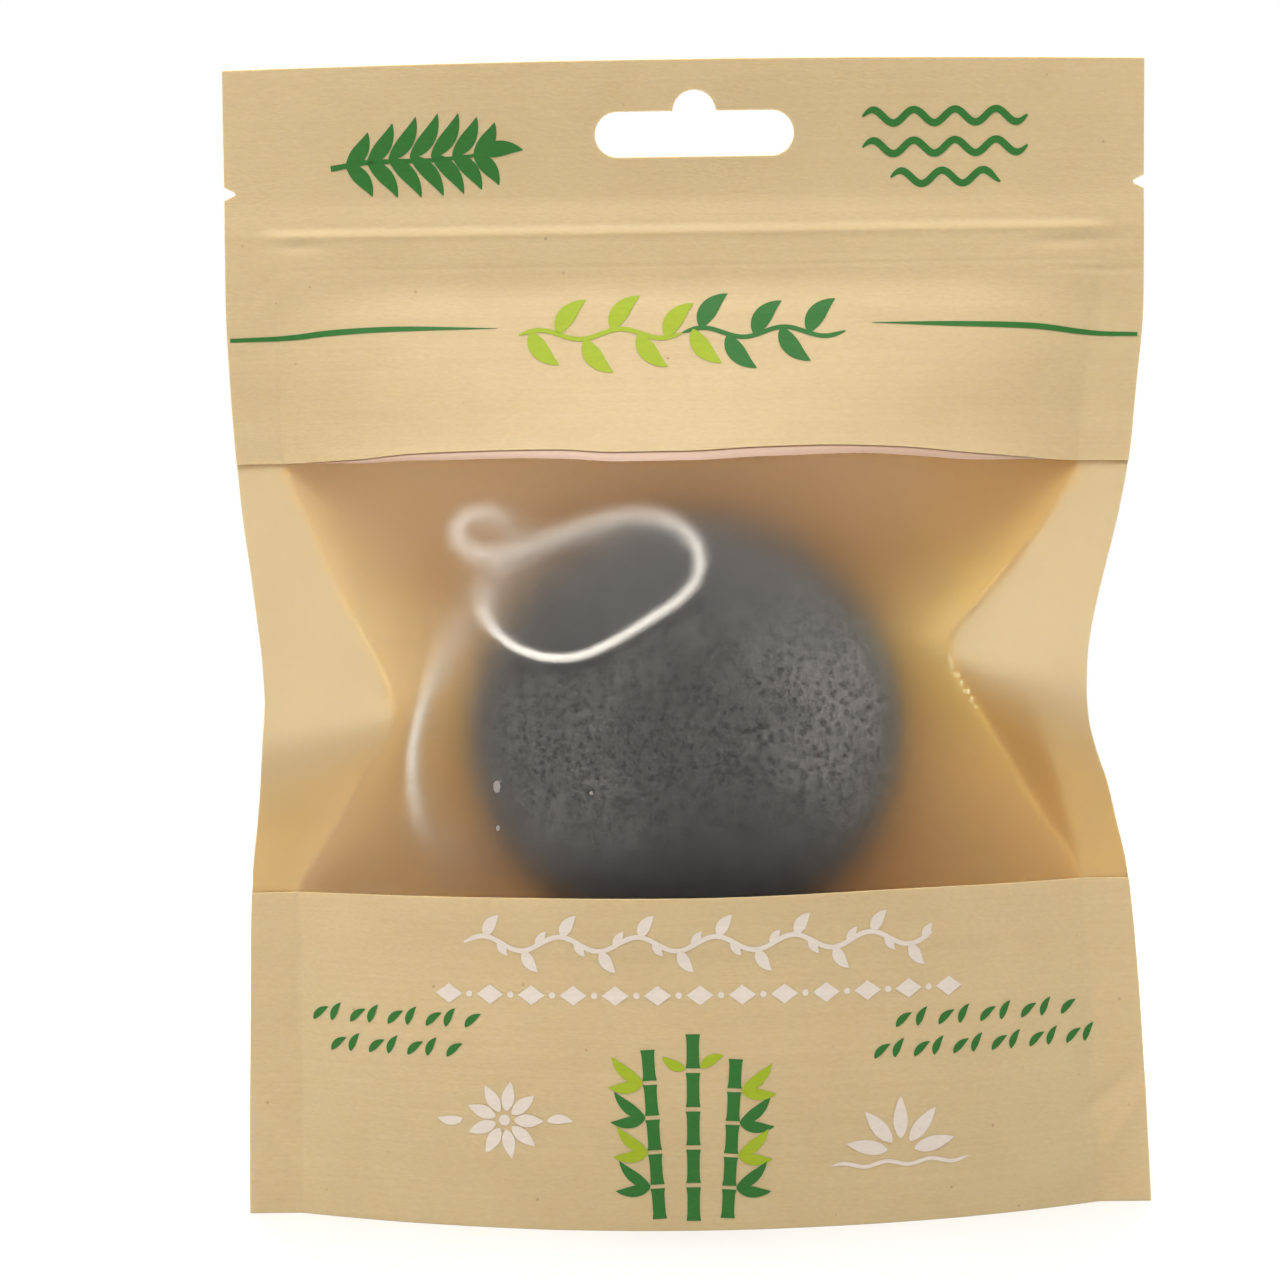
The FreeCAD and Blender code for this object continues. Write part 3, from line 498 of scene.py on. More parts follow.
def front_depth(x, z):
    """Depth of the front's inner face: a chord plus an arch up to the crown between the fold
    lines, and over the zip its swell with a crease and a faint pressed line. The sponge, also
    when it is slid up, and the cord on it push the face out."""
    t, chord = across(x, z)
    depth = chord + (through(z, *FRONT_CROWN) - chord) * arching(t, z)
    crease = 0.12 * bell(z, 156.8, 0.8) - 0.045 * bell(z, 151.2, 0.35)
    depth = depth + zip_swell(t, z, crease) + 0.06 * bell(z, 156.8, 0.7)
    over_cord = 0.75 * bell(x, -11.0, 17.0) * bell(z, 97.0, 8.5)
    pressed = np.maximum(sponge_faces(x, z)[0] + 0.26, sponge_faces(x, z - SLIDE)[0] + 0.2)
    return higher(depth + over_cord, pressed, 0.3) + creasing(x, z) + GAP


def back_depth(x, z):
    """Depth of the back's inner face, counted backwards: against the front in the wings and the
    header, and arched between the fold lines, where the sponge pushes it out."""
    t, chord = across(x, z)
    by_sponge = 1.9 * bell(z, 86.0, 17.0) * ease(0.0, 0.5, t)
    depth = -chord + (through(z, *BACK_CROWN) + chord) * arching(t, z, by_sponge)
    pressed = np.maximum(sponge_faces(x, z)[1], sponge_faces(x, z - SLIDE)[1]) + 0.5
    joined = np.maximum(ease(0.9, 1.0, np.abs(t)), ease(149.0, 158.0, z))
    waves = creasing(x, z) * joined + (1 - joined) * 0.3 * lumps(24.0, 9, x, z)
    return higher(depth + zip_swell(t, z), pressed, 0.4 * (1 - joined) + 0.001) - waves + GAP


def header_bulge(x, z):
    """The header leans back just above the crease and then forward, most at its middle."""
    lean = 3.1 * ease(160.0, 188.0, z) - 0.9 * ease(157.4, 163.0, z)
    return lean * (1 - 0.75 * (x / 74.0) ** 2)


def paper_face(x, z):
    """Depth of the front paper's outer face, further out where it laps over the film."""
    over_film = 0.2 * ease(40, 45, z) * (1 - ease(124, 128, z))
    return front_depth(x, z) + over_film + header_bulge(x, z) + PAPER


# ---- sheets of the pouch

SLOT_X, SLOT_Z = 1.5, 172.4  # middle of the hang slot
SLOT_HALF, SLOT_ROUND = 12.4, 3.6  # half of its straight run, and the radius of its ends
BUMP_Z, BUMP_ROUND = 175.8, 3.5  # the half-round bump on top of it
NOTCH_Z, NOTCH_HALF = 163.8, 1.1  # the small notch at each side
GUSSET_FOLD = 41.2  # height of the fold in the gusset


def sheet_grid(low, high, columns, heights):
    """Points of a sheet in the front view: columns from edge to edge, each from a low line
    to a high line."""
    u = np.linspace(-1, 1, columns)[None, :]
    foot, head = low(u * HALF_WIDTH), high(u * HALF_WIDTH)
    z = foot + heights[:, None] * (head - foot)
    left, right = side_edges(z)
    return (left + right) / 2 + u * (right - left) / 2, z


def slot_gap(x, z):
    """Distance to the rim of the header's cuts, below zero inside them: a long slot with a
    half-round bump on top, and a small notch at each side."""
    bar = np.hypot(np.maximum(np.abs(x - SLOT_X) - SLOT_HALF, 0), z - SLOT_Z) - SLOT_ROUND
    bump = np.hypot(x - SLOT_X, z - BUMP_Z) - BUMP_ROUND
    tall = np.abs(z - NOTCH_Z) - NOTCH_HALF
    notches = [tall + np.abs(x - edge) * 0.5 for edge in side_edges(z)]
    return np.minimum(np.minimum(bar, bump), np.minimum(*notches))


def cut_grid(x, z, step=0.02):
    """Grid with the header's cuts: cells whose middle lies in a cut are left out, and the points
    beside it are moved onto its rim."""
    gap = slot_gap(x, z)
    slope_x = (slot_gap(x + step, z) - slot_gap(x - step, z)) / (2 * step)
    slope_z = (slot_gap(x, z + step) - slot_gap(x, z - step)) / (2 * step)
    quads = grid_quads(*x.shape)
    quads = quads[gap.ravel()[quads].mean(1) > 0]
    counts = np.bincount(quads.ravel(), minlength=gap.size).reshape(gap.shape)
    on_rim = (counts > 0) & (counts < 4) & (np.abs(gap) < 0.9)
    move = np.where(on_rim, gap / np.maximum(slope_x**2 + slope_z**2, 0.05), 0)
    return x - move * slope_x, z - move * slope_z, quads


def paper_sheet(name, x, z, quads):
    """Sheet of the front's paper."""
    outer = paper_face(x, z)
    return laid_sheet(name, x, z, outer, outer - PAPER, quads)


def front_top_sheet():
    """Kraft sheet from the window's upper edge to the header's top, with the cuts. Its rows lie
    closest over the zip."""
    rows = spaced((121, 148.5, 36), (149, 159.5, 43), (160, 184, 40))
    x, z = sheet_grid(lintel, top_edge, 250, (rows - rows[0]) / (rows[-1] - rows[0]))
    return paper_sheet("front_top_sheet", *cut_grid(x, z))


def front_foot_sheet():
    """Kraft sheet from the foot to the window's lower edge."""
    x, z = sheet_grid(np.zeros_like, sill, 210, np.linspace(0, 1, 72))
    return paper_sheet("front_foot_sheet", x, z, grid_quads(*x.shape))


def film_tint_and_painted_light(x, z):
    """Colour of the film: clear in the window and warmer at its right. On the wings it holds
    painted
    light and shade: a cooler tone above the crease, where the wings face up, and a darker, warmer
    tone below it, where they face down, strongest at the right, with tones in between on the
    seal strips along the edges."""
    left, right = fold_lines(z)
    edge_left, edge_right = side_edges(z)
    from_edge = np.minimum(x - edge_left, edge_right - x)
    on_left = (x < 0)[..., None]
    # Painted shade below the crease, where the wings face down: strong at the right, slight at
    # the left, with other tones on the seal strips along the edges.
    lower = np.where(on_left, (0.95, 0.94, 0.87, 1), (0.82, 0.755, 0.605, 1))
    lower_strip = np.where(on_left, (0.925, 0.92, 0.84, 1), (0.92, 0.9, 0.8, 1))
    lower = mixed(lower, lower_strip, ease(9.0, 6.5, from_edge))
    fade = -4.0 - 0.5 * np.clip(24 - from_edge, 0, 24)
    low = ease(1.5, fade, z - wing_crease(x))
    # Painted light above the crease, where the wings face up: a cooler tone.
    wing = mixed((0.925, 0.965, 0.985, 1), lower, low)
    window = mixed((0.98, 0.965, 0.94, 1), (0.98, 0.93, 0.82, 1), ease(27.0, 44.0, x))
    return mixed(window, wing, ease(-1.0, 2.0, np.maximum(left - x, x - right)))


def window_film():
    """Frosted film between the two kraft bands, lapped behind both, with its colour as an
    attribute of the points, painted light and shade on the wings included."""
    x, z = sheet_grid(
        lambda x: sill(x) - LAP, lambda x: lintel(x) + LAP, 216, np.linspace(0, 1, 118)
    )
    inner = front_depth(x, z)
    piece = laid_sheet("frosted_window", x, z, inner + FILM, inner, grid_quads(*x.shape))
    colour = film_tint_and_painted_light(x, z).reshape(-1, 4)
    tint_and_painted_light = piece.data.attributes.new("tint_and_painted_light", "FLOAT_COLOR", "POINT")
    tint_and_painted_light.data.foreach_set("color", np.vstack([colour, colour]).astype(np.float32).ravel())
    return piece


def seal_lip():
    """Milky lip of the window's seal: a strip on the film, 1.4 mm tall, that runs out at both
    corners."""
    left, right = -64.5, 61.5
    x = np.linspace(left, right, 190)[None, :]
    v = np.linspace(0, 1, 6)[:, None]
    uneven = 1 + 0.12 * lumps(9.0, 31, x)
    z = lintel(x) - 0.02 - v * (0.04 + 1.36 * ease(left, -38, x) * ease(right, 40, x) * uneven)
    x, v = np.broadcast_arrays(x, v)
    film = front_depth(x, z)
    outer = film + 0.18 + 0.14 * np.sin(np.pi * v)
    return laid_sheet("window_seal_lip", x, z, outer, film + 0.16, grid_quads(*x.shape)[:, ::-1])


def back_sheet():
    """Kraft sheet of the back, with the same cuts."""
    heights = spaced((0, 0.84, 120), (0.843, 0.88, 20), (0.884, 1, 38))
    x, z, quads = cut_grid(*sheet_grid(np.zeros_like, top_edge, 230, heights))
    inner = back_depth(x, z) - header_bulge(x, z)
    return laid_sheet("back_sheet", x, z, -inner - PAPER, -inner, quads[:, ::-1])


def gusset_sheet():
    """Folded sheet at the foot: straight up from the front's foot to one rounded fold, and down
    to the back's foot."""
    u = np.linspace(-62.5, 62.5, 120)[None, :]
    w = np.linspace(-1, 1, 61)[:, None]
    soft = 0.02
    z = np.maximum(GUSSET_FOLD * (1 - np.sqrt(w * w + soft**2)) / (1 - soft), 0.05)
    u, w, z = np.broadcast_arrays(u, w, z + 0 * u)
    front = np.minimum((front_depth(u, 0 * z) - 0.5) * -w, front_depth(u, z) - 0.12)
    back = np.minimum((back_depth(u, 0 * z) - 0.5) * w, back_depth(u, z) - 0.12)
    depth = np.where(w < 0, front, -back)
    inner = layer(u, z + 0.25, depth - np.where(w < 0, 0.15, -0.15))
    return closed_sheet("gusset_sheet", inner, layer(u, z, depth), grid_quads(*z.shape))


# ---- press zip

# outline of each strip as depth from the seam plane and height
ZIP_RIB = (
    (0.06, 150.0), (0.06, 151.7), (-0.22, 151.9), (-0.22, 152.7),
    (0.06, 152.9), (0.06, 155.0), (0.56, 155.0), (0.56, 150.0),
)
ZIP_GROOVE = (
    (0.02, 150.0), (0.02, 151.5), (0.3, 151.6), (0.3, 153.0),
    (0.02, 153.1), (0.02, 155.0), (0.56, 155.0), (0.56, 150.0),
)


def zip_strip(name, outline, face):
    """Zip outline carried from side to side and crushed flat in the side seals. The face is 1 on
    the front and -1 on the back."""
    thick, z = np.array(outline).T
    x = spaced((-73.4, -62, 24), (-60, 60, 40), (62, 73.2, 24))[:, None]
    crush = 0.03 + 0.97 * ease(67.5, 63.5, np.abs(x))
    depth = face * (thick * crush + 0.01)
    x, z = np.broadcast_arrays(x, z)
    points = layer(x, z, depth + creasing(x, z))
    ends = points.reshape(*z.shape, 3)[[0, -1]].mean(1)
    faces = tube_faces(*z.shape, turned=face < 0)
    return mesh_piece(name, np.vstack([points, ends]), *faces, sharp=40)


# ---- sponge

# radius and depth of the back's edge and of the channel for the cord
CHANNEL = ((3.0, -BACK), (2.3, -11.2), (2.1, -10.6), (2.1, -3.2), (1.6, -2.6), (0, -2.5))


def sponge_profile(count=224):
    """Half outline of the sponge as radius and depth, evenly spaced: crown, shoulder, heel, flat
    back and channel."""
    a = np.linspace(0, math.asin(CROWN_END / CROWN), 60)
    b = np.linspace(SHOULDER_START, 0, 60)
    c = np.linspace(0, -np.pi / 2, 60)
    outline = np.vstack(
        [
            np.column_stack([CROWN * np.sin(a), CROWN_TOP - CROWN + CROWN * np.cos(a)]),
            np.column_stack([np.cos(b), np.sin(b)]) * SHOULDER + (SHOULDER_RING, RIM_DEPTH),
            np.column_stack([np.cos(c), np.sin(c)]) * HEEL + (HEEL_RING, RIM_DEPTH),
            CHANNEL,
        ]
    )
    along = run_length(outline)
    even = np.linspace(0, along[-1], count)
    return [np.interp(even, along, column) for column in outline.T]


def sponge_body(name, around=428):
    """The outline turned about the sponge's axis, then moved along its normal by soft lumps and
    by pores, dents where a fine noise is high."""
    radius, depth = (values[:, None] for values in sponge_profile())
    angle = circle(around)
    slope_r, slope_d = np.gradient(radius, axis=0), np.gradient(depth, axis=0)
    size = np.hypot(slope_r, slope_d)
    place = np.broadcast_arrays(radius * np.cos(angle), depth, radius * np.sin(angle))
    pores = ease(0.25, 0.75, lumps(0.95, 21, *place) + 0.6 * lumps(0.6, 22, *place))
    soft = 0.12 * lumps(14.0, 23, *place) + 0.07 * lumps(4.0, 24, *place)
    move = ease(2.5, 6.0, radius) * (soft + 0.04 * lumps(1.8, 25, *place) - 0.12 * pores)
    r, d = radius - slope_d / size * move, depth + slope_r / size * move
    points = np.stack(
        [SPONGE_X + r * np.cos(angle), SEAM - d, SPONGE_Z + r * np.sin(angle)], axis=-1
    )
    tips = points[[0, -1], 0]
    faces = tube_faces(len(points) - 2, around, turned=True)
    return mesh_piece(name, np.vstack([points[1:-1].reshape(-1, 3), tips]), *faces)


cord_points, cord_length = cord_line()
cord = twisted_cord("hanging_cord_twist", cord_points)
front_top = front_top_sheet()
front_foot = front_foot_sheet()
film = window_film()
back = back_sheet()
gusset = gusset_sheet()
rib = zip_strip("zip_rib", ZIP_RIB, 1)
groove = zip_strip("zip_groove", ZIP_GROOVE, -1)
sponge = sponge_body("konjac_sponge_body")
knot = cord_knot("overhand_knot")
lip = seal_lip()


# ---- printed ornaments

GARLAND_Z, GARLAND_SWING, GARLAND_PITCH = 140.0, 0.8, 13.0
VINE_Z, LOZENGE_Z = 44.6, 36.6
# x and z of each cane's foot, z of its top and its lean
CANES = ((-6.6, 1.6, 28.6, -1.6), (-1.4, 1.2, 31.0, 0.2), (3.8, 1.6, 27.0, 1.6))
CANE_PARTS = 5


def ribbon(x, z, half):
    """Grid of points along a centre line, spread to both sides of it by a half-width."""
    run_x, run_z = np.gradient(x), np.gradient(z)
    size = np.hypot(run_x, run_z)
    spread = np.maximum(half, 0.03)[:, None] * np.linspace(-1, 1, 5)
    aside_x, aside_z = -(run_z / size)[:, None], (run_x / size)[:, None]
    return x[:, None] + aside_x * spread, z[:, None] + aside_z * spread


def leaf(x, z, turn, length, width, bend=0.1):
    """Leaf whose half-width is a sine, fuller near the stalk, and whose middle line bows."""
    s = (1 - np.cos(np.linspace(0, np.pi, 21))) / 2
    bow = bend * length * 4 * s * (1 - s)
    c, k = cos_sin(turn)
    half = width / 2 * np.sin(np.pi * s**0.8) ** 0.85
    return ribbon(x + c * length * s - k * bow, z + k * length * s + c * bow, half)


def fan(x, z, away, turns, length, width):
    """Straight leaves that point away from a middle."""
    rays = [(turn, *cos_sin(turn)) for turn in turns]
    return [leaf(x + away * c, z + away * s, turn, length, width, 0) for turn, c, s in rays]


def dot(x, z, wide, tall):
    """Oval: its half-width across a level line is an ellipse's."""
    s = np.cos(np.linspace(np.pi, 0, 17))
    return ribbon(x + s * wide / 2, np.full(17, float(z)), tall / 2 * np.sqrt(1 - s * s))


def stroke(x, z, wide):
    """Line through given points, with a width set at each."""
    k = np.arange(len(x))
    s = np.linspace(0, k[-1], 16 * len(x))
    return ribbon(through(s, k, x), through(s, k, z), through(s, k, wide) / 2)


def wave(low, high, z, swing, length, wide):
    """Level sine wave that tapers at both ends."""
    x = np.linspace(low, high, int((high - low) * 3))
    taper = np.clip(np.minimum(x - low, high - x) / 2 + 0.1, 0, 1) ** 0.6
    return ribbon(x, z + swing * np.sin(2 * np.pi * (x - low) / length), wide / 2 * taper)


def printed(name, patches, face):
    """Ink layer of many patches, laid just over a face of the front. Patches that overlap
    lie at slightly different heights."""
    x, z = (np.concatenate([p[k].ravel() for p in patches]) for k in (0, 1))
    sizes = [p[0].size for p in patches]
    starts = np.concatenate([[0], np.cumsum(sizes)])
    quads = [grid_quads(*p[0].shape)[:, ::-1] + start for p, start in zip(patches, starts)]
    step = 0.004 * np.repeat(np.arange(len(patches)) % 6, sizes)
    depth = face(x, z) + INK + step
    return laid_sheet(name, x, z, depth + INK, depth, np.vstack(quads))


def side_strokes():
    """Long tapered strokes from both edges towards the middle of the upper band."""
    left = stroke(
        (-73.5, -68.8, -63.0, -57.2, -45.9, -30.4),
        (140.2, 140.3, 140.5, 141.0, 141.4, 141.2),
        (0.62, 0.7, 0.85, 0.95, 0.8, 0.06),
    )
    right = stroke(
        (72.2, 67.8, 62.8, 54.6, 41.6, 29.3),
        (139.2, 139.3, 139.7, 140.6, 141.0, 141.3),
        (0.62, 0.7, 0.85, 0.95, 0.75, 0.06),
    )
    return [left, right]


def garland(places, first, low, high):
    """Leaves in turn above and below a waving stem, each leaning along it, and the stem."""
    up = np.where((np.arange(len(places)) + first) % 2, 1, -1)
    stem = GARLAND_Z + GARLAND_SWING * np.sin(2 * np.pi * (places + 27) / GARLAND_PITCH)
    leaves = [leaf(x, z, k * 52, 7.2, 2.9, k * 0.12) for x, z, k in zip(places, stem, up)]
    return leaves + [wave(low, high, GARLAND_Z, GARLAND_SWING, GARLAND_PITCH, 0.75)]


def sprig():
    """Branch with seven pairs of leaves and one at its tip."""
    x = np.linspace(-54.5, -34.0, 7)
    z = 168.0 + 0.07 * (x + 54.5) + 0.6 * np.sin((x + 54.5) / 6.5)
    parts = []
    for a, b, length in zip(x, z, (6.4, 7.4, 8.0, 8.2, 8.0, 7.2, 6.2)):
        parts += [leaf(a, b, 56, length, 2.5, -0.1), leaf(a, b, -50, length, 2.5, 0.1)]
    parts.append(leaf(x[-1] + 1.0, z[-1], 6, 7.0, 2.5))
    stem = (-57.0, -50.0, -42.0, -32.0), (167.6, 168.6, 168.7, 169.6), (0.9, 0.8, 0.7, 0.5)
    return parts + [stroke(*stem)]


def ripples():
    """Three level waves, the lowest one shorter."""
    rows = (28.5, 55.0, 174.6), (28.5, 55.0, 169.8), (33.0, 50.6, 165.0)
    return [wave(low, high, z, 1.05, 6.6, 1.15) for low, high, z in rows]


def vine():
    """Two white rows: a waving stem with leaves at each turn, and lozenges with dots between."""
    turns = np.arange(-33.0, 35.0, 6.0)
    turns = list(zip(turns, np.where(np.arange(len(turns)) % 2, -1, 1)))
    row = [wave(-36.5, 36.5, VINE_Z, 1.1, 12.0, 0.75)]
    row += [leaf(x, VINE_Z + k, 58 * k, 4.0, 1.9, 0.1 * k) for x, k in turns]
    row += [leaf(x + 2.2, VINE_Z + 0.6 * k, -64 * k, 2.8, 1.4, -0.1 * k) for x, k in turns]
    s = np.linspace(-1, 1, 15)
    for x in np.arange(-39.0, 40.0, 6.5):
        row.append(ribbon(x + 2.1 * s, np.full(15, LOZENGE_Z), 1.55 * (1 - np.abs(s))))
        row.append(dot(x + 3.25, LOZENGE_Z, 1.0, 1.0))
    return row[:-1]


def tufts():
    """Rows of small slanted leaves at both sides of the lower band."""
    left = (-61.5, -36.5, 31.3, 9), (-58.5, -39.5, 26.6, 7)
    right = (30.5, 58.0, 30.6, 9), (27.0, 62.0, 25.9, 12)
    parts = []
    for low, high, z, count in left + right:
        places = enumerate(np.linspace(low, high, count))
        parts += [leaf(x, z, 62 if k % 2 else 40, 3.3, 1.15) for k, x in places]
    return parts


def blossom():
    """Ring of nine petals round a dot, with a small leaf at either side."""
    x, z = -30.5, 17.0
    sides = [leaf(x - 6.7, z, 180, 4.0, 1.5), leaf(x + 6.7, z, 0, 4.0, 1.5)]
    return fan(x, z, 1.5, np.arange(9) * 40, 4.6, 2.0) + [dot(x, z, 1.7, 1.7)] + sides


def drops():
    """Fan of five drops over a short level line."""
    rays = fan(31.0, 11.0, 2.2, (12, 50, 90, 130, 168), 6.6, 2.3)
    return rays + [wave(20.0, 42.0, 9.4, 0.35, 7.0, 0.6)]


def canes():
    """Three leaning canes in segments that swell to each node, with gaps between them."""
    nodes = np.linspace(0, 1, CANE_PARTS + 1)
    parts = []
    for foot, low, high, lean in CANES:
        for a, b in itertools.pairwise(nodes):
            s = np.linspace(a + 0.012, b - 0.012, 11)
            half = 0.95 + 0.3 * np.abs((s - (a + b) / 2) / (b - a) * 2) ** 4
            parts.append(ribbon(foot + lean * s, low + (high - low) * s, half))
    return parts


def cane_leaves(first):
    """Pairs of long leaves at every other node of the outer canes, on their outer sides."""
    parts = []
    for (foot, low, high, lean), side in ((CANES[0], -1), (CANES[2], 1)):
        for n in range(first, CANE_PARTS, 2):
            x = foot + lean * n / CANE_PARTS + side * 1.1
            z = low + (high - low) * n / CANE_PARTS
            for turn, length in ((50, 6.2), (98, 5.4)):
                parts.append(leaf(x, z, 90 - side * turn, length, 1.8, -side * 0.08))
    return parts


def cane_top():
    """One pair of leaves near the top of the middle cane."""
    foot, _, _, lean = CANES[1]
    return [leaf(foot + lean + k * 1.2, 25.4, 90 - k * 62, 4.0, 1.6) for k in (-1, 1)]


header_print = printed("print_header_green", sprig() + ripples(), paper_face)
band_print = printed(
    "print_band_green",
    side_strokes()
    + garland(np.arange(2.0, 21.0, 4.3), 1, -1.0, 25.0)
    + tufts()
    + canes()
    + cane_leaves(1),
    paper_face,
)
fresh_print = printed(
    "print_band_fresh",
    garland(np.arange(-25.0, 1.0, 4.3), 0, -27.0, -1.0) + cane_leaves(2) + cane_top(),
    lambda x, z: paper_face(x, z) + 0.01,
)
white_print = printed("print_band_white", vine() + blossom() + drops(), paper_face)
specks = printed(
    "film_specks",
    [dot(-30.9, 68.8, 1.1, 1.9), dot(-30.8, 62.4, 0.6, 0.9), dot(-16.2, 67.9, 0.5, 0.6)],
    lambda x, z: front_depth(x, z) + FILM,
)


# ---- materials


def fill(tree, node, values):
    """Each named socket of a node is linked to another node's output or set to a value."""
    for key, value in values.items():
        if isinstance(value, bpy.types.NodeSocket):
            tree.links.new(value, node.inputs[key])
        else:
            node.inputs[key].default_value = value


def add(tree, kind, values=None, **settings):
    """One node with its settings and its filled sockets."""
    node = tree.nodes.new(kind)
    for key, value in settings.items():
        setattr(node, key, value)
    fill(tree, node, values or {})
    return node


def object_place(tree):
    """Object coordinates."""
    return add(tree, "ShaderNodeTexCoord").outputs["Object"]


def ramp(tree, source, *stops):
    """Colour ramp over a value, with two stops of place and colour."""
    node = add(tree, "ShaderNodeValToRGB", {"Fac": source})
    for element, (place, colour) in zip(node.color_ramp.elements, stops):
        element.position, element.color = place, (*colour, 1)
    return node.outputs["Color"]


def noise(tree, place, scale, detail, rough=0.5):
    """Noise value at a place. A scale of three numbers stretches it along the axes."""
    if isinstance(scale, tuple):
        stretched = add(tree, "ShaderNodeMapping", {"Vector": place, "Scale": scale})
        place, scale = stretched.outputs["Vector"], 1.0
    values = {"Vector": place, "Scale": scale, "Detail": detail, "Roughness": rough}
    return add(tree, "ShaderNodeTexNoise", values).outputs["Fac"]


def cells(tree, place, scale, low, high):
    """Cell pattern: 0 where the distance to a cell's middle is low, 1 where it is high."""
    pattern = add(tree, "ShaderNodeTexVoronoi", {"Vector": place, "Scale": scale})
    values = {"Value": pattern.outputs["Distance"], "From Min": low, "From Max": high}
    return add(tree, "ShaderNodeMapRange", values).outputs["Result"]


def weighted(tree, *terms):
    """Sum of values, each times its weight."""
    total = 0.0
    for value, weight in terms:
        values = {0: value, 1: weight, 2: total}
        total = add(tree, "ShaderNodeMath", values, operation="MULTIPLY_ADD").outputs["Value"]
    return total


def blended(tree, share, first, second):
    """Colour mixed from two by a share of the second."""
    values = {0: share, 6: first, 7: second}
    return add(tree, "ShaderNodeMix", values, data_type="RGBA").outputs[2]


def relief(tree, height, strength, distance):
    """Normal of a bump of that height."""
    values = {"Height": height, "Strength": strength, "Distance": distance}
    return add(tree, "ShaderNodeBump", values).outputs["Normal"]


def new_material(name):
    """Material with one Principled shader, its node tree and that shader."""
    material = bpy.data.materials.new(name)
    material.use_nodes = True
    return material, material.node_tree, material.node_tree.nodes["Principled BSDF"]


def kraft_grain():
    """Node group of kraft paper's grain: level bands, fibres and a few dark specks."""
    tree = bpy.data.node_groups.new("kraft_grain", "ShaderNodeTree")
    for socket in ("Bands", "Specks", "Height"):
        tree.interface.new_socket(socket, in_out="OUTPUT", socket_type="NodeSocketFloat")
    place = object_place(tree)
    bands = noise(tree, place, (16, 24, 1300), 2.0, 0.55)
    fibres = noise(tree, place, (900, 1200, 2600), 2.0, 0.55)
    clouds = noise(tree, place, (60, 60, 75), 3.0, 0.55)
    values = {
        "Bands": weighted(tree, (bands, 0.24), (fibres, 0.46), (clouds, 0.3)),
        "Specks": cells(tree, place, 170.0, 0.055, 0.02),
        "Height": weighted(tree, (fibres, 0.7), (bands, 0.3)),
    }
    add(tree, "NodeGroupOutput", values)
    return tree


GRAIN = kraft_grain()


def kraft_finish(name, light, dark, speck, rough, raised, passes=0.0, gloss=0.12):
    """Paper or ink: the grain's bands run between two tones, specks darken it, the fibres make a
    fine relief, and a share of the light passes through."""
    material, tree, shader = new_material(name)
    grain = add(tree, "ShaderNodeGroup", node_tree=GRAIN).outputs
    tone = ramp(tree, grain["Bands"], (0.34, dark), (0.66, light))
    values = {
        "Base Color": blended(tree, grain["Specks"], tone, (*speck, 1)),
        "Normal": relief(tree, grain["Height"], raised, 0.00012),
        "Roughness": rough,
        "Specular IOR Level": gloss,
        "Subsurface Weight": passes,
        "Subsurface Radius": (0.95, 0.8, 0.5),
        "Subsurface Scale": 0.0008,
    }
    fill(tree, shader, values)
    return material


def film_finish():
    """Frosted film: rough clear plastic that blurs what lies behind it, with faint waves."""
    material, tree, shader = new_material("frosted_film")
    waves = noise(tree, object_place(tree), 150.0, 3.0)
    values = {
        # Base colour from the points' tint, which holds painted light and shade on the wings.
        "Base Color": add(tree, "ShaderNodeAttribute", attribute_name="tint_and_painted_light").outputs["Color"],
        "Normal": relief(tree, waves, 0.12, 0.0004),
        "Transmission Weight": 1.0,
        "Roughness": 0.85,
        "IOR": 1.2,
        "Specular IOR Level": 0.3,
        "Coat Weight": 0.1,
        "Coat Roughness": 0.55,
    }
    fill(tree, shader, values)
    return material


# of each patch of painted light and shade: middle, distances where it begins and ends to fade,
# brightness
SPONGE_PAINTED_LIGHT = (
    ((0.022, -0.014, 0.083), 0.003, 0.021, 1.8),
    ((-0.001, -0.019, 0.077), 0.006, 0.020, 0.68),
    ((0.002, -0.012, 0.041), 0.009, 0.035, 0.06),
)


def sponge_finish():
    """Charcoal konjac: matt grey flesh with small pores painted dark for the shade inside them,
    a painted highlight in a patch at the right, painted shade at its middle and a painted
    shadow at its bottom."""
    material, tree, shader = new_material("charcoal_konjac")
    place = object_place(tree)
    pit = cells(tree, place, 860.0, 0.31, 0.47)
    clouds = noise(tree, place, 120.0, 3.0)
    flesh = ramp(tree, clouds, (0.3, (0.055, 0.0545, 0.054)), (0.7, (0.086, 0.0845, 0.083)))
    # Pores painted near black, for the shade inside them.
    colour = blended(tree, pit, (0.019, 0.019, 0.019, 1), flesh)
    # Patches of painted light and shade scale the colour: a highlight at the right, shade at the
    # middle, a shadow at the bottom.
    for middle, near, far, bright in SPONGE_PAINTED_LIGHT:
        away = add(tree, "ShaderNodeVectorMath", {0: place, 1: middle}, operation="DISTANCE")
        values = {"From Min": near, "From Max": far, "To Min": bright}
        values["Value"] = away.outputs["Value"]
        share = add(tree, "ShaderNodeMapRange", values, interpolation_type="SMOOTHSTEP")
        values = {0: colour, "Scale": share.outputs["Result"]}
        colour = add(tree, "ShaderNodeVectorMath", values, operation="SCALE").outputs["Vector"]
    height = weighted(tree, (pit, 1.0), (noise(tree, place, 1500.0, 2.0), 1.0))
    normal = relief(tree, height, 0.7, 0.0003)
    fill(tree, shader, {"Base Color": colour, "Normal": normal, "Roughness": 0.92})
    return material


def grained_finish(name, scale, detail, dark, light, rough, raised=0.0, passes=0.0):
    """Plain stuff with a grain: a noise runs between two tones and makes a slight relief."""
    material, tree, shader = new_material(name)
    grain = noise(tree, object_place(tree), scale, detail)
    values = {
        "Base Color": ramp(tree, grain, (0.3, dark), (0.7, light)),
        "Normal": relief(tree, grain, raised, 0.0001),
        "Roughness": rough,
        "Subsurface Weight": passes,
    }
    fill(tree, shader, values)
    return material


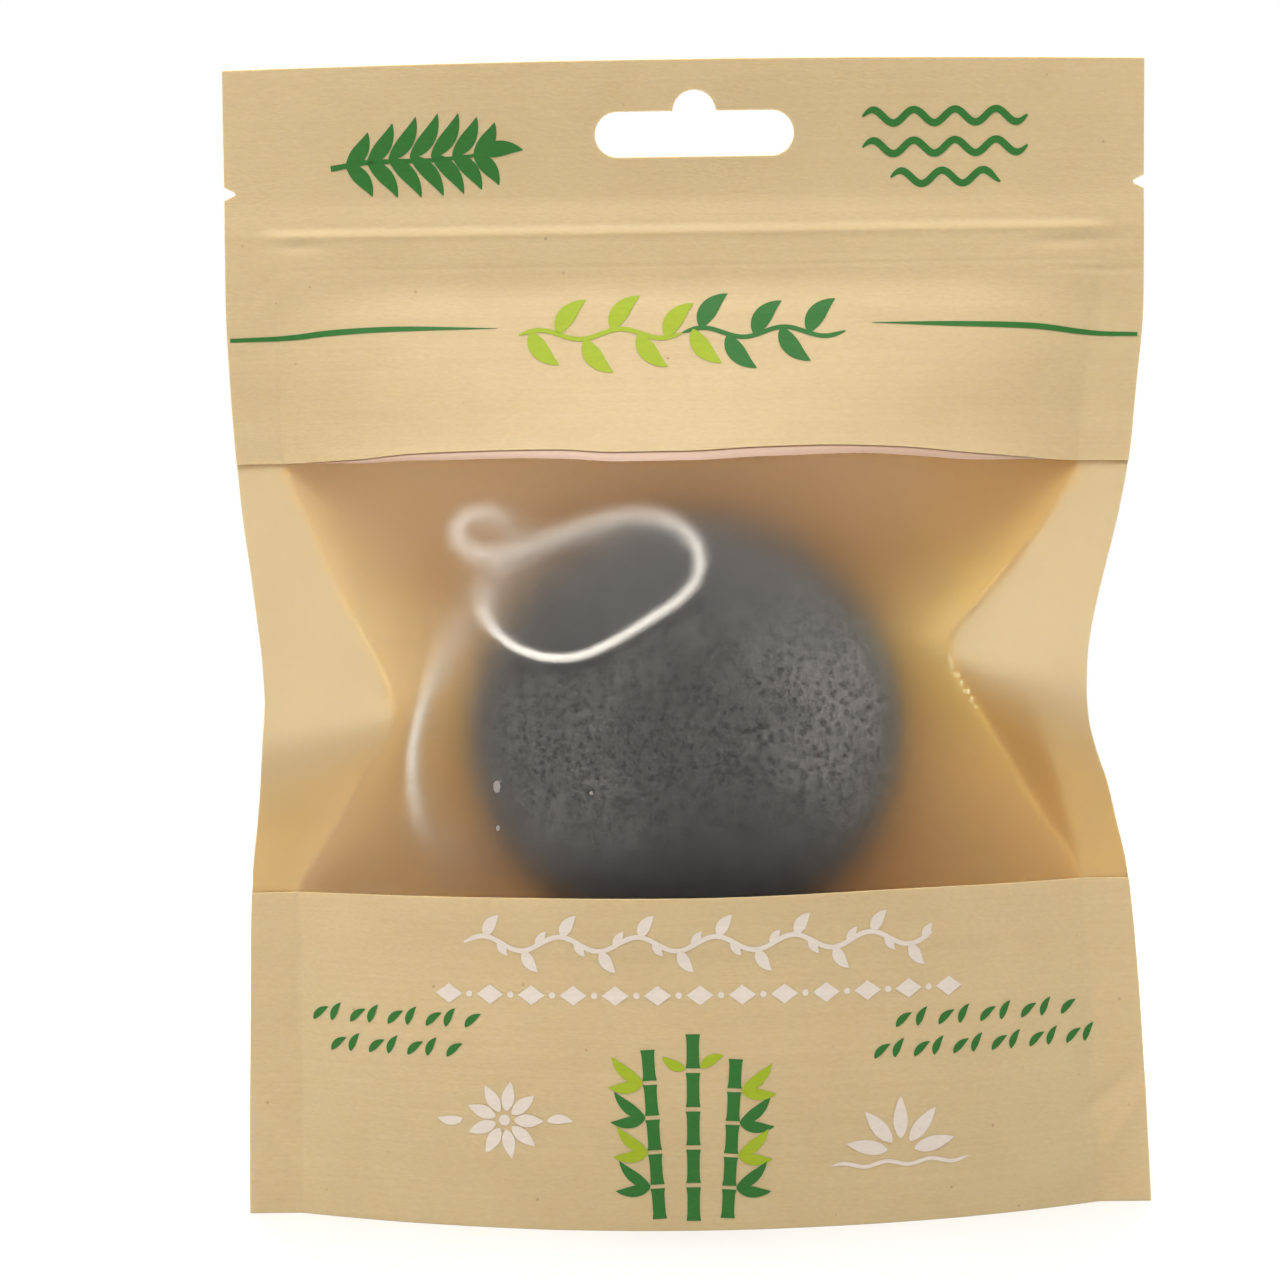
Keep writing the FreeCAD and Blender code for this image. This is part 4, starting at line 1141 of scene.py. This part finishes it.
# of each: light, dark and speck tones, roughness and relief
KRAFT = kraft_finish(
    "kraft_paper", (0.555, 0.428, 0.24), (0.5, 0.376, 0.202), (0.36, 0.25, 0.13),
    0.66, 0.35, passes=1.0, gloss=0.38,
)
GREEN = kraft_finish(
    "ink_green", (0.032, 0.142, 0.028), (0.026, 0.12, 0.022), (0.02, 0.09, 0.018), 0.5, 0.3
)
FRESH = kraft_finish(
    "ink_fresh_green", (0.3, 0.375, 0.02), (0.26, 0.33, 0.017), (0.2, 0.25, 0.015), 0.5, 0.3
)
WHITE = kraft_finish(
    "ink_white", (0.63, 0.545, 0.47), (0.57, 0.49, 0.41), (0.46, 0.37, 0.28), 0.5, 0.3
)
SPOT = kraft_finish(
    "frost_spot", (0.25, 0.215, 0.2), (0.23, 0.2, 0.185), (0.23, 0.2, 0.185),
    0.6, 0.1, gloss=0.38,
)
LIP = kraft_finish(
    "milky_seal", (0.47, 0.315, 0.225), (0.42, 0.275, 0.19), (0.4, 0.26, 0.18),
    0.45, 0.1, gloss=0.38,
)

FROST, CHARCOAL = film_finish(), sponge_finish()
COTTON = grained_finish(
    "cotton_cord", 2600.0, 3.0, (0.7, 0.68, 0.64), (0.88, 0.86, 0.83), 0.85, raised=0.4
)
MILKY = grained_finish(
    "zip_plastic", (40, 4000, 4000), 2.0, (0.72, 0.71, 0.68), (0.8, 0.79, 0.76), 0.4, passes=0.1
)


# ---- bodies

for piece, finish, slot, body, *nodes in (
    (front_top, KRAFT, "kraft_paper", None, "front_upper_band", "header_front_ply"),
    (front_foot, KRAFT, "kraft_paper", "pouch", "front_lower_band"),
    (back, KRAFT, "kraft_paper", None, "back_panel", "header_back_ply"),
    (gusset, KRAFT, "kraft_paper", "pouch", "bottom_gusset"),
    (film, FROST, "frosted_film", "pouch", "window_film"),
    (rib, MILKY, "zip_plastic", "pouch", "zip_rib_strip"),
    (groove, MILKY, "zip_plastic", "pouch", "zip_groove_strip"),
    (sponge, CHARCOAL, "charcoal_konjac", "sponge", "konjac_sponge"),
    (cord, COTTON, "cotton_cord", "sponge", "hanging_cord"),
    (knot, COTTON, "cotton_cord", "sponge", "cord_knot"),
    (lip, LIP, "frosted_film", "pouch"),
    (specks, SPOT, "frosted_film", "pouch"),
    (header_print, GREEN, "kraft_paper", "header"),
    (band_print, GREEN, "kraft_paper", "pouch"),
    (fresh_print, FRESH, "kraft_paper", "pouch"),
    (white_print, WHITE, "kraft_paper", "pouch"),
):
    piece.data.materials.append(finish)
    if body:
        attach(piece, body)
    if nodes:
        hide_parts(*nodes)
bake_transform(front_top)
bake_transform(back)


# ---- floor and light


def pale_floor(around=64):
    """Round pale floor under the foot: rings of points out to 0.7 m, paler further out."""
    ring = np.concatenate([[0.02], np.geomspace(10, 700, 20)])[:, None]
    x, y = ring * np.cos(circle(around)), ring * np.sin(circle(around))
    points = np.stack([x, y, np.full_like(x, -0.02)], axis=-1).reshape(-1, 3)
    floor = mesh_piece("pale_floor", points, grid_quads(*x.shape, wrap=True)[:, ::-1])
    material, tree, shader = new_material("pale_floor")
    away = add(tree, "ShaderNodeVectorMath", {0: object_place(tree)}, operation="LENGTH")
    tone = ramp(tree, away.outputs["Value"], (0.1, (0.71,) * 3), (0.6, (0.95,) * 3))
    fill(tree, shader, {"Base Color": tone, "Roughness": 0.9})
    floor.data.materials.append(material)


def soft_light(name, place, aim, size, power):
    """Square soft box at a place, turned to face a point."""
    data = bpy.data.lights.new(name, "AREA")
    data.shape, data.size, data.energy = "SQUARE", size, power
    light = bpy.data.objects.new(name, data)
    bpy.context.collection.objects.link(light)
    away = np.subtract(place, aim) / math.dist(place, aim)
    right = np.cross((0, 0, 1), away)
    right /= np.linalg.norm(right)
    axes = np.column_stack([right, np.cross(away, right), away, place])
    light.matrix_world = Matrix([*axes.tolist(), [0, 0, 0, 1]])


def white_room():
    """World that lights softly, and is plain white where the camera looks straight at it."""
    world = bpy.data.worlds.new("white_room")
    world.use_nodes = True
    tree = world.node_tree
    seen = add(tree, "ShaderNodeLightPath").outputs["Is Camera Ray"]
    strength = add(tree, "ShaderNodeMapRange", {"Value": seen, "To Min": 0.5})
    values = {"Color": (1.0, 1.0, 1.0, 1), "Strength": strength.outputs["Result"]}
    fill(tree, tree.nodes["Background"], values)
    bpy.context.scene.world = world


pale_floor()
soft_light("key_softbox", (-0.3, -0.95, 1.5), (0, 0, 0.09), 0.9, 26.8)
soft_light("top_softbox", (0.0, -0.2, 1.6), (0, 0, 0.0), 1.2, 9.0)
soft_light("back_softbox", (0.0, 1.0, 0.75), (0, 0, 0.08), 0.9, 12.0)
white_room()
bpy.context.scene.view_settings.view_transform = "Standard"
